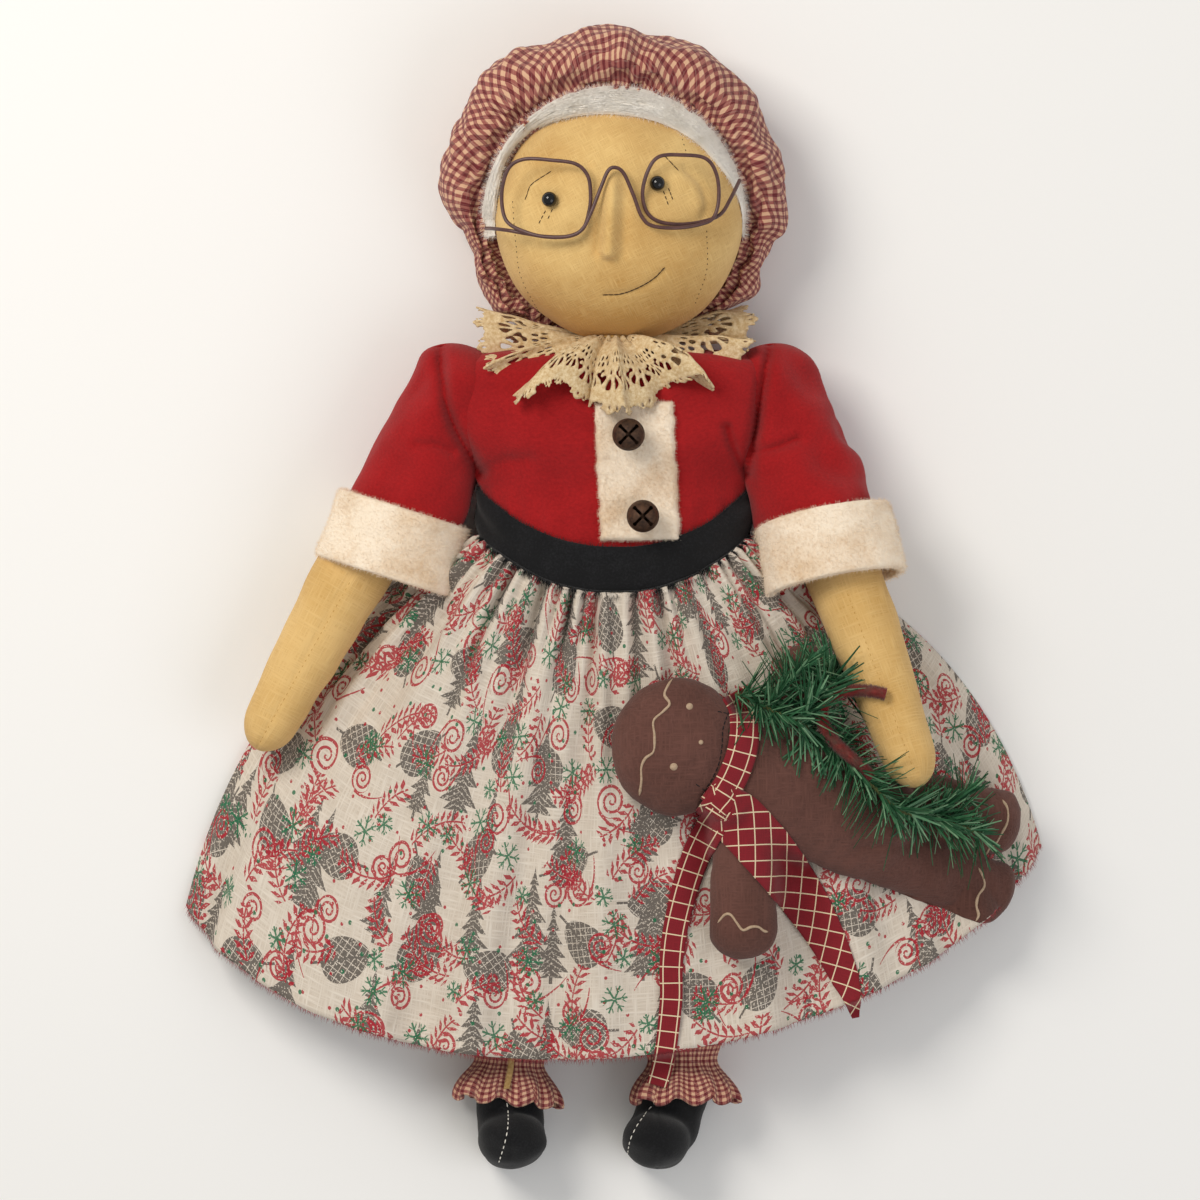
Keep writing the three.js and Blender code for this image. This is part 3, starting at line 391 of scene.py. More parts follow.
# tea-dyed muslin: an open cotton weave in tan, in streaks; on the face, painted shade makes it deeper towards
# the chin
def makeMuslin(name, light="#e0ba7a", deep="#bd9048", chinAt=None, laid=False, thread=0.62):
    material, tree, shader = startMaterial(name)
    body = objectPlace(tree)
    threads = weave(tree, body if laid else clothPlace(tree), thread)
    stain = noiseAt(tree, body, 34.0, 3.0)
    share = formula(tree, "(stain - 0.5) * 1.5 + (0.5 - threads) * 1.2 + 0.35", stain=stain, threads=threads)
    # painted shade: below the given height the cloth darkens towards the chin, standing in for shade
    if chinAt:
        y = addNode(tree, "ShaderNodeSeparateXYZ", {}, {0: body}).outputs[1]
        share = formula(tree, "share + max(0, (chinAt - y) / 44)", share=share, y=y, chinAt=chinAt)
    colour = blendColours(tree, share, linear(light), linear(deep))
    finishCloth(tree, shader, colour, threads, 0.5, 0.9, 0.1, 0.8)
    return material


# brushed cotton flannel: a soft nap that takes the weave's edge off and lightens at grazing angles
def makeFlannel():
    material, tree, shader = startMaterial("brushedRedFlannel")
    place = clothPlace(tree)
    nap = noiseAt(tree, place, 1.3, 4.0, 0.7)
    cloud = noiseAt(tree, place, 16.0, 3.0)
    share = formula(tree, "(nap - 0.5) * 1.6 + (cloud - 0.5) * 0.9 + 0.5", nap=nap, cloud=cloud)
    colour = blendColours(tree, share, linear("#850a0f"), linear("#a9171a"))
    finishCloth(tree, shader, colour, nap, 0.5, 0.95, 0.08, 0.6)
    return material


# tea-stained fleece: matted short fibres in cream, browned in blotches
def makeFleece(name="teaStainedFleece", light="#f8e8d2", deep="#d2ad80", stainShare=0.0):
    material, tree, shader = startMaterial(name)
    body = objectPlace(tree)
    blotch = noiseAt(tree, body, 21.0, 4.0, 0.6)
    fibre = noiseAt(tree, body, 1.6, 4.0, 0.7)
    share = formula(tree, "(blotch - 0.52) * 2.1 + (0.5 - fibre) * 0.7 + add", blotch=blotch, fibre=fibre,
                    add=0.22 + stainShare)
    colour = blendColours(tree, share, linear(light), linear(deep))
    finishCloth(tree, shader, colour, fibre, 0.9, 0.95, 0.2, 0.7)
    return material


# black felted cotton: near black with grey lint
def makeBlackCloth():
    material, tree, shader = startMaterial("blackFeltedCotton")
    place = objectPlace(tree)
    lint = noiseAt(tree, place, 0.9, 3.0, 0.7)
    cloud = noiseAt(tree, place, 12.0, 2.0)
    share = formula(tree, "(lint - 0.55) * 2.2 + (cloud - 0.5) * 0.8 + 0.2", lint=lint, cloud=cloud)
    colour = blendColours(tree, share, linear("#0b0b0d"), linear("#242427"))
    finishCloth(tree, shader, colour, lint, 0.35, 0.95, 0.1, 0.5)
    return material


# woven gingham: dark where two dyed bands cross, mid where one crosses tan, tan between
def makeGingham(name, band):
    material, tree, shader = startMaterial(name)
    place = clothPlace(tree)
    parts = addNode(tree, "ShaderNodeSeparateXYZ", {}, {0: place})
    fray = noiseAt(tree, place, 0.8, 1.0)
    stripe = "less(frac((x + (fray - 0.5) * 0.5) / period), 0.5)"
    warp = formula(tree, stripe, x=parts.outputs[0], fray=fray, period=2 * band)
    weft = formula(tree, stripe, x=parts.outputs[1], fray=fray, period=2 * band)
    threads = weave(tree, place, 0.5)
    both = formula(tree, "warp * weft", warp=warp, weft=weft)
    either = formula(tree, "max(warp, weft)", warp=warp, weft=weft)
    colour = blendColours(tree, either, linear("#d3a888"), linear("#985850"))
    colour = blendColours(tree, both, colour, linear("#6b252b"))
    shade = formula(tree, "(threads - 0.55) * 0.9", threads=threads)
    colour = blendColours(tree, shade, colour, linear("#f0dcc0"))
    finishCloth(tree, shader, colour, threads, 0.3, 0.9, 0.08, 0.5)
    return material


# printed linen: a cream slubby cloth with a screen-printed winter scatter in three inks
def makePrint():
    material, tree, shader = startMaterial("printedCreamLinen")
    place = clothPlace(tree)
    threads = weave(tree, place, 0.85)
    rough = noiseAt(tree, place, 0.9, 2.0)
    wobble = noiseAt(tree, place, 9.0, 2.0)

    def cell(period, shiftX, shiftY, lean, jitter, seed):  # a scatter's place in its cell, in millimetres
        parts = addNode(tree, "ShaderNodeSeparateXYZ", {}, {0: place})
        given = {"x": parts.outputs[0], "y": parts.outputs[1], "p": period,
                 "c": math.cos(lean), "s": math.sin(lean)}
        gx = formula(tree, "(x * c + y * s) / p + a", a=shiftX, **given)
        gy = formula(tree, "(y * c - x * s) / p + a", a=shiftY, **given)
        column, row = formula(tree, "floor(g)", g=gx), formula(tree, "floor(g)", g=gy)
        spot = addNode(tree, "ShaderNodeCombineXYZ", {}, {0: column, 1: row, 2: float(seed)}).outputs[0]
        dice = addNode(tree, "ShaderNodeTexWhiteNoise", {"noise_dimensions": "3D"}, {0: spot})
        a, b, chance = addNode(tree, "ShaderNodeSeparateXYZ", {}, {0: dice.outputs["Color"]}).outputs
        away = "(g - low - 0.5 - (a - 0.5) * j) * p"
        x = formula(tree, away, g=gx, low=column, a=a, j=jitter, p=period)
        y = formula(tree, away, g=gy, low=row, a=b, j=jitter, p=period)
        return {"x": x, "y": y, "chance": chance}

    def turned(spot, text):  # the same place, turned by an angle that is made from the cell's chance
        given = {**spot, "t": formula(tree, text, **spot)}
        x = formula(tree, "x * cos(t) + y * sin(t)", **given)
        y = formula(tree, "y * cos(t) - x * sin(t)", **given)
        return {"x": x, "y": y}

    def fir(period, height, shiftX, shiftY, seed):  # a brushed fir tree of five tiers
        return formula(
            tree,
            "t = (y + h / 2) / h + (wobble - 0.5) * 0.05",
            "tier = frac(t * 6)",
            "wide = h * 0.3 * (1 - t) * (1 - tier * 0.62)",
            "inside = less(abs(x), wide) * more(t, 0.1) * less(t, 1)",
            "trunk = less(abs(x), 0.9) * more(t, 0) * less(t, 0.2)",
            "strokes = more(frac((abs(x) * 0.55 + y) / 2.4 + rough), 0.12)",
            "max(inside * strokes, trunk) * less(chance, 0.85)",
            h=height, wobble=wobble, rough=rough, **cell(period, shiftX, shiftY, 0.0, 0.3, seed))

    def flake(period, reach, shiftX, shiftY, seed):  # a six-armed snow crystal
        return formula(
            tree,
            "far = sqrt(x * x + y * y)",
            "ray = fold(atan2(y, x) + chance, 0.5236)",
            "along = far * cos(ray)",
            "off = far * sin(ray)",
            "arm = less(off, 0.45) * less(along, reach)",
            "twig = less(abs(off - (along - reach * 0.52) * 0.9), 0.34)"
            " * less(off, reach * 0.3) * more(along, 1)",
            "max(arm, twig) * less(chance, 0.8)",
            reach=reach, **cell(period, shiftX, shiftY, 0.35, 0.6, seed))

    def scroll(period, reach, shiftX, shiftY, seed):  # a curled vine with a tail
        return formula(
            tree,
            "far = sqrt(x * x + y * y)",
            "coil = abs(frac(far / g - atan2(y, x) / 6.2832 + 0.5) - 0.5) * g",
            "line = less(coil, 0.42 + 0.045 * far) * less(far, reach)",
            "drop = abs(y - reach + x * x / (reach * 5))",
            "tail = less(drop, 0.75 + x / (reach * 5)) * less(x, 0) * more(x, reach * -2.5)",
            "max(line, tail)",
            reach=reach, g=reach / 2.25,
            **turned(cell(period, shiftX, shiftY, -0.5, 0.45, seed), "chance * 6.2832"))

    def cone(period, size, shiftX, shiftY, seed):  # a pine cone with its scales and a stalk
        return formula(
            tree,
            "wide = s * 0.36 * sqrt(max(0, 1 - 4 * y * y / (s * s))) * (1 - y / s * 0.5)",
            "a = frac((x + y * 0.9) / 4.0)",
            "b = frac((x - y * 0.9) / 4.0)",
            "body = less(abs(x), wide) * more(a, 0.09) * more(b, 0.09)",
            "stalk = less(abs(x - y * 0.06), 0.55) * less(abs(y), s * 0.72)",
            "max(body, stalk)",
            s=size, **turned(cell(period, shiftX, shiftY, 0.25, 0.4, seed), "chance * 3 - 1.5"))

    def sprig(period, length, shiftX, shiftY, seed):  # a leafy twig with paired leaves
        return formula(
            tree,
            "bent = x - y * y * 0.02",
            "stem = less(abs(bent), 0.42) * less(abs(y), half)",
            "step = frac((y - abs(bent) * 0.7) / 3.7) - 0.5",
            "leaf = less(abs(step), 0.34 - abs(abs(bent) - 2.6) * 0.13)"
            " * less(abs(y), half) * less(abs(bent), 5.2)",
            "max(stem, leaf)",
            half=length / 2, **turned(cell(period, shiftX, shiftY, 0.9, 0.5, seed), "chance * 4 - 2"))

    def dots(period, size, seed):
        inside = "less(x * x + y * y, size) * less(chance, 0.5)"
        return formula(tree, inside, size=size ** 2, **cell(period, 0.2, 0.4, 0.6, 0.8, seed))

    def either(*masks):
        whole = masks[0]
        for mask in masks[1:]:
            whole = formula(tree, "max(a, b)", a=whole, b=mask)
        return whole

    grey = either(fir(45.0, 35.0, 0.1, 0.3, 1), fir(63.0, 46.0, 0.55, 0.72, 2),
                  cone(41.0, 24.0, 0.3, 0.6, 11))
    green = either(flake(31.0, 6.2, 0.3, 0.1, 3), flake(39.0, 4.4, 0.8, 0.5, 4), dots(12.0, 0.9, 5))
    red = either(scroll(37.0, 5.8, 0.0, 0.5, 6), scroll(47.0, 7.4, 0.4, 0.2, 7),
                 sprig(31.0, 22.0, 0.6, 0.1, 8),
                 sprig(41.0, 30.0, 0.15, 0.45, 12), dots(9.5, 0.75, 9))
    worn = formula(tree, "less(rough, 0.62)", rough=rough)  # the ink skips on the cloth's high threads
    slub = formula(tree, "(t - 0.4) * 1.6", t=threads)
    colour = blendColours(tree, slub, linear("#c9bcac"), linear("#efe6d9"))
    for mask, ink in ((grey, "#57504a"), (red, "#a81a2c"), (green, "#1d6b48")):
        colour = blendColours(tree, formula(tree, "m * w * 0.9", m=mask, w=worn), colour, linear(ink))
    finishCloth(tree, shader, colour, threads, 0.55, 0.9, 0.08, 0.8)
    return material


# burgundy ribbon with fine cream lines woven both ways
def makePlaid():
    material, tree, shader = startMaterial("gridWovenRibbon")
    place = clothPlace(tree)
    parts = addNode(tree, "ShaderNodeSeparateXYZ", {}, {0: place})
    across = formula(tree, "less(abs(frac(x / 6.8) - 0.5), 0.036)", x=parts.outputs[0])
    along = formula(tree, "less(abs(frac(y / 6.8) - 0.5), 0.036)", y=parts.outputs[1])
    threads = weave(tree, place, 0.4)
    lines = formula(tree, "max(a, b) * 0.85", a=across, b=along)
    base = blendColours(tree, threads, linear("#620b15"), linear("#8f1724"))
    colour = blendColours(tree, lines, base, linear("#ecdcb6"))
    finishCloth(tree, shader, colour, threads, 0.2, 0.7, 0.1, 0.4)
    return material


def makeSpeckled(name, first, second, size, roughness, depth, metallic=0.0, sheen=0.0):
    material, tree, shader = startMaterial(name)
    place = objectPlace(tree)
    grain = noiseAt(tree, place, size, 4.0, 0.65)
    share = formula(tree, "(g - 0.5) * 3 + 0.5", g=grain)
    colour = blendColours(tree, share, linear(first), linear(second))
    finishCloth(tree, shader, colour, grain, depth, roughness, sheen, 0.5)
    shader.inputs["Metallic"].default_value = metallic
    return material


muslin = makeMuslin("teaDyedMuslin")
# the face's muslin darkens below y = 146 mm: painted shade towards the chin
faceMuslin = makeMuslin("teaDyedFaceMuslinWithPaintedShade", "#e6c280", "#b98a48", chinAt=146.0, thread=0.5)
flannel = makeFlannel()
fleece = makeFleece()
whiteFleece = makeFleece("offWhiteFleece", "#fdf8f0", "#e6dccb", -0.1)
blackCloth = makeBlackCloth()
capGingham = makeGingham("burgundyGingham", 2.15)
legGingham = makeGingham("smallBurgundyGingham", 1.5)
printLinen = makePrint()
plaid = makePlaid()
laceCotton = makeSpeckled("agedCottonLace", "#e4cfa8", "#bf9f6f", 1.6, 0.9, 0.5, sheen=0.1)  # ecru, aged
brownCotton = makeMuslin("dyedBrownCotton", "#67433a", "#42271f", laid=True, thread=0.8)
tanRibbon = makeSpeckled("tanTwillRibbon", "#b89766", "#94733f", 1.2, 0.85, 0.2)
darkThread = makeSpeckled("darkCottonThread", "#2b1d16", "#4a3526", 0.8, 0.9, 0.1)
whiteThread = makeSpeckled("whiteCottonThread", "#d9d4c8", "#f2eee4", 0.8, 0.9, 0.1)
tanThread = makeSpeckled("tanCottonThread", "#a87d3c", "#c99b52", 0.8, 0.9, 0.1)
redThread = makeSpeckled("redCottonLining", "#8d1419", "#a5191e", 1.0, 0.9, 0.1)
icing = makeSpeckled("driedFabricPaint", "#bda58c", "#a68c72", 1.0, 0.75, 0.2)  # matt tan paint
wireCoat = makeSpeckled("brownCoatedWire", "#5d3c38", "#482c2a", 3.0, 0.38, 0.05)  # plastic-coated craft wire
rust = makeSpeckled("rustedTinplate", "#3a2c25", "#5f4535", 2.2, 0.55, 0.25, metallic=0.55)  # thin sheet
beadGlass = makeSpeckled("blackGlassBead", "#050506", "#0a0a0c", 3.0, 0.06, 0.0)
stemWire = makeSpeckled("twistedGreenWire", "#3d4a2a", "#5b5a34", 1.0, 0.6, 0.1)
needleFilm = makeSpeckled("cutGreenFilm", "#2a5a3b", "#417650", 7.0, 0.5, 0.05)  # glossy pvc, cut to needles
deepNeedle = makeSpeckled("cutDarkGreenFilm", "#1b4028", "#2c5c3b", 7.0, 0.5, 0.05)
paleNeedle = makeSpeckled("cutPaleGreenFilm", "#5a8a64", "#86ab86", 7.0, 0.5, 0.05)
chenillePile = makeSpeckled("variegatedChenille", "#8c1f1f", "#6a4a40", 9.0, 0.95, 0.2, sheen=0.2)
for glossy, level in ((beadGlass, 0.5), (wireCoat, 0.5), (needleFilm, 0.4)):
    glossy.node_tree.nodes["Principled BSDF"].inputs["Specular IOR Level"].default_value = level
print("materials are ready")


# forms shared with the CAD model, in millimetres
waistY, bodyZ, neckZ = 17.0, 31.0, 44.0
gap = 0.35
beltWidth = 17.0
headCentre = np.array([0.0, 159.5, 44.0])
headHalf = np.array([52.0, 51.0, 40.0])
shoulders = {"right": np.array([-66.0, 87.0, 31.0]), "left": np.array([66.0, 87.0, 31.0])}
armAngles = {"right": math.radians(29.4), "left": math.radians(20.5)}
armLines = {
    "right": unit(np.array([-math.sin(armAngles["right"]), -math.cos(armAngles["right"]), 0.0])),
    "left": unit(np.array([math.sin(armAngles["left"]), -math.cos(armAngles["left"]), 30.0 / 172.0])),
}
sleeveAngles = {"right": math.radians(22.9), "left": math.radians(20.0)}
cuffAngles = {"right": math.radians(17.5), "left": math.radians(11.5)}
cuffCentres = {"right": (-92.5, 24.2), "left": (90.2, 20.9)}


def armWay(side, angle):  # the direction of a sleeve or cuff that hangs at its own angle about the arm
    sign = np.sign(shoulders[side][0])
    return unit(np.array([sign * math.sin(angle), -math.cos(angle), armLines[side][2]]))


hips = {"right": np.array([-27.0, -17.0, 18.0]), "left": np.array([27.0, -17.0, 18.0])}
ankles = {"right": np.array([-45.0, -203.0, 18.0]), "left": np.array([29.0, -203.0, 18.0])}


def stuffedGrid(form, sides=64, rings=56, shape=None):  # the CAD's stuffed form with fine rings, and its uv
    start, end = np.array(form["from"], float), np.array(form["to"], float)
    middle = np.array(form.get("mid", (start + end) / 2), float)
    control = middle * 2 - (start + end) / 2
    share = (1 - np.cos(np.pi * np.linspace(0.0, 1.0, rings))) / 2
    t = share[:, None]
    spine = (1 - t) ** 2 * start + 2 * t * (1 - t) * control + t ** 2 * end
    tangent = unit(2 * (1 - t) * (control - start) + 2 * t * (end - control))
    length = np.linalg.norm(np.diff(spine, axis=0), axis=1).sum()
    up = np.array(form.get("up", (0.0, 0.0, 1.0)))
    side = unit(np.cross(tangent, up))
    over = np.cross(side, tangent)
    firstRound, lastRound = form["round"]
    full = roundOff(share * length, firstRound) * roundOff((1 - share) * length, lastRound)
    belly = 1 + form.get("swell", 0) * np.sin(np.pi * share)
    wide = mix(*form["wide"], share) * belly * full
    deep = mix(*form["deep"], share) * belly * full
    angle = np.arange(sides) * turn / sides
    x, y = superPoint(angle[None, :], wide[:, None], deep[:, None], form.get("power", 2))
    grid = spine[:, None] + side[:, None] * x[..., None] + over[:, None] * y[..., None]
    if shape is not None:
        grid = shape(grid, angle[None, :] + 0 * share[:, None], share[:, None] + 0 * angle[None, :])
    girth = turn * (form["wide"][0] + form["wide"][1]) / 2
    u = np.linspace(0, girth, sides + 1)
    uv = stack(u[None, :], (share * length)[:, None])
    return grid, uv


def startTree(name, **sockets):  # a tree for scattered pieces, with its inputs
    tree = bpy.data.node_groups.new(name, "GeometryNodeTree")
    for label, kind in {"Geometry": "Geometry", **sockets, "Material": "Material"}.items():
        tree.interface.new_socket(label, in_out="INPUT", socket_type="NodeSocket" + kind)
    tree.interface.new_socket("Geometry", in_out="OUTPUT", socket_type="NodeSocketGeometry")
    return tree, addNode(tree, "NodeGroupInput").outputs


def finishTree(tree, given, spots, form, way, sizes):  # the form made real at every spot
    size = addNode(tree, "ShaderNodeCombineXYZ", {}, dict(enumerate(sizes)))
    links = {"Points": spots.outputs["Points"], "Instance": form, "Rotation": way, "Scale": size.outputs[0]}
    placed = addNode(tree, "GeometryNodeInstanceOnPoints", {}, links)
    real = addNode(tree, "GeometryNodeRealizeInstances", {}, {0: placed.outputs[0]})
    links = {"Geometry": real.outputs[0], "Material": given["Material"]}
    done = addNode(tree, "GeometryNodeSetMaterial", {}, links)
    addNode(tree, "NodeGroupOutput", {}, {0: done.outputs[0]})
    return tree


# threads sewn through the cloth: one short stitch is made by nodes at every step along the line
def stitchTree():
    tree, given = startTree("sewnStitches", Pitch="Float", Length="Float", Thread="Float")
    links = {"Curve": given["Geometry"], "Length": given["Pitch"]}
    spaced = addNode(tree, "GeometryNodeCurveToPoints", {"mode": "LENGTH"}, links)
    bead = addNode(tree, "GeometryNodeMeshIcoSphere", {}, {"Radius": 1.0, "Subdivisions": 2})
    sizes = given["Thread"], given["Thread"], given["Length"]
    return finishTree(tree, given, spaced, bead.outputs["Mesh"], spaced.outputs["Rotation"], sizes)


stitches = stitchTree()


def setInputs(modifier, values):
    for item in modifier.node_group.interface.items_tree:
        if item.in_out == "INPUT" and item.name in values:
            modifier[item.identifier] = values[item.name]


def curveObject(name, lines):
    curve = bpy.data.curves.new(name, "CURVE")
    curve.dimensions = "3D"
    for points in lines:
        spline = curve.splines.new("POLY")
        spline.points.add(len(points) - 1)
        spline.points.foreach_set("co", np.c_[np.asarray(points) * mm, np.ones(len(points))].ravel())
    return inScene(name, curve)


def meshFrom(name, source):  # what the source's nodes make, in its place
    piece = inScene(name, worked(source))
    dropped(source)
    return piece


def sewn(name, lines, pitch, length, thread, material):
    source = curveObject(name + "Line", lines)
    modifier = source.modifiers.new("stitches", "NODES")
    modifier.node_group = stitches
    sizes = {"Pitch": pitch * mm, "Length": length * mm / 2, "Thread": thread * mm / 2}
    setInputs(modifier, {**sizes, "Material": material})
    return meshFrom(name, source)


# loose fibres: thin hairs set by nodes on a surface, leaning with its face
def fibreTree():
    sockets = dict.fromkeys(("Density", "Length", "Thread", "Lean"), "Float")
    tree, given = startTree("looseFibres", **sockets, Seed="Int")
    links = {"Mesh": given["Geometry"], "Density": given["Density"], "Seed": given["Seed"]}
    spread = addNode(tree, "GeometryNodeDistributePointsOnFaces", {}, links)
    form = {"Vertices": 3, "Side Segments": 1, "Radius Top": 0.1, "Radius Bottom": 1.0, "Depth": 1.0}
    hair = addNode(tree, "GeometryNodeMeshCone", {"fill_type": "NONE"}, form)
    low = addNode(tree, "FunctionNodeRandomValue", {"data_type": "FLOAT_VECTOR"},
                  {0: (-1.0, -1.0, -1.0), 1: (1.0, 1.0, 1.0), "Seed": given["Seed"]})
    leaning = addNode(tree, "ShaderNodeVectorMath", {"operation": "SCALE"},
                      {0: low.outputs[0], "Scale": given["Lean"]})
    aim = addNode(tree, "ShaderNodeVectorMath", {"operation": "ADD"},
                  {0: spread.outputs["Normal"], 1: leaning.outputs[0]})
    turnTo = addNode(tree, "FunctionNodeAlignRotationToVector", {"axis": "Z"}, {"Vector": aim.outputs[0]})
    sizes = given["Thread"], given["Thread"], given["Length"]
    return finishTree(tree, given, spread, hair.outputs["Mesh"], turnTo.outputs[0], sizes)


fibres = fibreTree()


def fuzz(name, source, density, length, thread, lean, seed, material):  # density in hairs per square cm
    copy = inScene(name + "Base", source.data.copy())
    modifier = copy.modifiers.new("fibres", "NODES")
    modifier.node_group = fibres
    sizes = {"Density": density * 1e4, "Length": length * mm, "Thread": thread * mm / 2, "Lean": lean}
    setInputs(modifier, {**sizes, "Seed": seed, "Material": material})
    return meshFrom(name, copy)


# tapering hairs from roots to tips, three faces each, for frayed threads, pile and cut film
def hairs(name, roots, tips, thread, material):
    roots, tips = np.asarray(roots, float), np.asarray(tips, float)
    way = unit(tips - roots)
    side = unit(np.cross(way, [0.31, 0.47, 0.83]))
    over = np.cross(way, side)
    rings = []
    for angle in (0, turn / 3, 2 * turn / 3):
        rings.append(roots + thread / 2 * (math.cos(angle) * side + math.sin(angle) * over))
    points = np.stack([*rings, tips], axis=1).reshape(-1, 3)
    first = np.arange(len(roots))[:, None] * 4
    faces = np.concatenate([first + np.array(f) for f in ((1, 0, 3), (2, 1, 3), (0, 2, 3), (0, 1, 2))])
    return meshObject(name, points, faces, material)


def slab(name, top, under, material):  # a closed pad between two faces of the same grid
    rows, columns = top.shape[:2]
    half = rows * columns
    place = np.arange(half).reshape(rows, columns)
    quads = np.stack([place[:-1, :-1], place[:-1, 1:], place[1:, 1:], place[1:, :-1]], axis=-1).reshape(-1, 4)
    rim = np.concatenate([place[0], place[1:, -1], place[-1, -2::-1], place[-2:0:-1, 0]])
    after = np.roll(rim, -1)
    walls = np.stack([rim, after, after + half, rim + half], axis=-1)
    points = np.concatenate([top.reshape(-1, 3), under.reshape(-1, 3)])
    return tidyMesh(meshObject(name, points, np.concatenate([quads, quads[:, ::-1] + half, walls]), material))


def heightOn(piece):  # how high the piece's face stands at a place seen from above
    shape = bmesh.new()
    shape.from_mesh(piece.data)
    tree = BVHTree.FromBMesh(shape)
    shape.free()

    def find(x, y, fallback=0.0):
        hit = tree.ray_cast(Vector((x * mm, y * mm, 0.3)), Vector((0, 0, -1)))
        return fallback if hit[0] is None else hit[0].z / mm
    return find


def photoLine(points, count, height, lift=0.0):  # a line given in the photograph's pixels, laid on a piece
    found = [(x, y, height(x, y)) for x, y in flatLine(points, count)]
    return np.array([(x, y, z + lift) for x, y, z in found if z > 1])  # only where the piece is


def edgeLength(line):
    return float(np.linalg.norm(np.diff(line, axis=0), axis=1).sum())


def gridArea(grid):
    a = np.cross(grid[1:, 1:] - grid[:-1, :-1], grid[1:, :-1] - grid[:-1, 1:])
    return float(np.linalg.norm(a, axis=-1).sum() / 2)


waistForm = {
    "halfWidth": 56.0, "halfDepth": 27.4, "power": 2.3, "rise": 20.0, "frontDip": 24.0, "backDip": 10.0,
}


# the waist line that bodice, belt and skirt share
def waistLine(angle, out, drop=0.0):
    s = np.sin(angle)
    dip = np.where(s > 0, waistForm["frontDip"], waistForm["backDip"])
    x, z = superPoint(angle, waistForm["halfWidth"] + out, waistForm["halfDepth"] + out, waistForm["power"])
    return stack(x, waistY + waistForm["rise"] - dip * s * s - drop, bodyZ + z)


skirt = {
    "cloth": 1.0,
    "columns": 380,
    "rows": 96,
    "gathers": 27,
    "gatherHeight": 3.0,
    "fold": 7.0,
    "wave": 2.1,
    "valleys": [(-0.86, 0.5), (-0.66, 0.75), (-0.5, 0.4), (-0.33, 0.6), (-0.2, 0.35), (-0.06, 0.5),
                (0.09, 0.3),
                (0.2, 0.62), (0.37, 0.42), (0.52, 0.6), (0.7, 0.5), (0.85, 0.7)],
    "fullness": 35.0,
    "sideDrop": 2.2,  # how much sooner the sides fall than the middle, on both panels
    "hemTurn": 72.0,  # degrees
    "hemHalf": 190.0,
    "hemDrop": 100.0,
    "hemRound": 109.0,
    "crown": 43.0,
    "out": 0.6,
    "underBelt": 1.55,
    "frontLow": 2.15,
    "backLow": 0.6,
    "backColumns": 150,
    "valleyDeep": 4.2,
    "valleyWide": 0.021,
    "fray": 3.2,
}


def hemPoint(u):
    angle = np.radians(u * skirt["hemTurn"])
    x = skirt["hemHalf"] * np.sin(angle)
    return stack(x, waistY - skirt["hemDrop"] - skirt["hemRound"] * np.cos(angle) + 0.07 * x, 0 * x)


def skirtWaist(angle):
    return waistLine(angle, gap + skirt["out"], beltWidth / 2 + skirt["underBelt"])


def skirtPlan(u, v, waist):
    hem = hemPoint(u)
    top = waist.copy()
    top[..., 2] = 0
    control = (top + hem) / 2 + stack(skirt["fullness"] * u, 33.0 * u * u, 0 * u)
    t = v[..., None]
    return (1 - t) ** 2 * top + 2 * t * (1 - t) * control + t ** 2 * hem


def skirtFace(u, v):  # the front panel's middle, as in the CAD
    waist = skirtWaist(np.pi / 2 * (1 - u))
    plan = skirtPlan(u, v, waist)
    crown = skirt["crown"] * (1 - np.abs(u) ** 2.4)
    down = ease(np.minimum(1, v * (1 + skirt["sideDrop"] * u * u)))
    folds = skirt["fold"] * v * (1 - u ** 6) * (0.5 + 0.5 * np.cos(np.pi * 8 * u))
    plan[..., 2] = mix(waist[..., 2] + skirt["underBelt"], skirt["frontLow"] + crown, down) + folds
    return plan


def skirtCloth():
    u = np.linspace(-1, 1, skirt["columns"])[None, :]
    v = np.linspace(0, 1, skirt["rows"])[:, None]
    u, v = np.broadcast_arrays(u, v)
    grid = skirtFace(u, v)
    normal = normalsOf(grid)
    normal *= np.sign(normal[..., 2:3])
    edge = 1 - np.abs(u) ** 10
    drift = u + 0.022 * np.sin(7 * u + 1) + 0.013 * np.sin(17 * u + 2) + 0.012 * np.sin(3 * v + 9 * u)
    uneven = 0.75 + 0.25 * np.sin(13 * u + 0.6) * np.sin(5 * u)
    gather = np.cos(np.pi * skirt["gathers"] * drift) * skirt["gatherHeight"] * uneven
    reach = 0.5 + 0.38 * np.sin(11 * u + 0.7) * np.sin(4.3 * u + 2)
    gather = gather * (1 - ease((v - 0.02) / reach)) * ease(v / 0.02 + 0.4)
    soft = skirt["wave"] * (0.3 + v) * np.sin(np.pi * 13 * drift + 2.2 * v + np.sin(5 * u))
    for place, far in skirt["valleys"]:  # narrow folds between the gathers, each with its own length
        across = (drift - place) / (skirt["valleyWide"] * (1 + 1.6 * v))
        soft = soft - skirt["valleyDeep"] * np.exp(-across ** 2) * (1 - ease(v / far)) * ease(v / 0.03 + 0.2)
    crease = crumple(grid, 38.0, 4) * 0.5 + crumple(grid, 15.0, 5) * 0.16
    grid = grid + normal * ((gather + soft + crease) * edge)[..., None]
    grid[..., 2] = np.maximum(grid[..., 2], 2.2)
    across = runAlong(grid[-1])
    length = runAlong(grid[:, skirt["columns"] // 2])
    uv = stack(across[None, :], length[::-1][:, None])
    return grid, uv


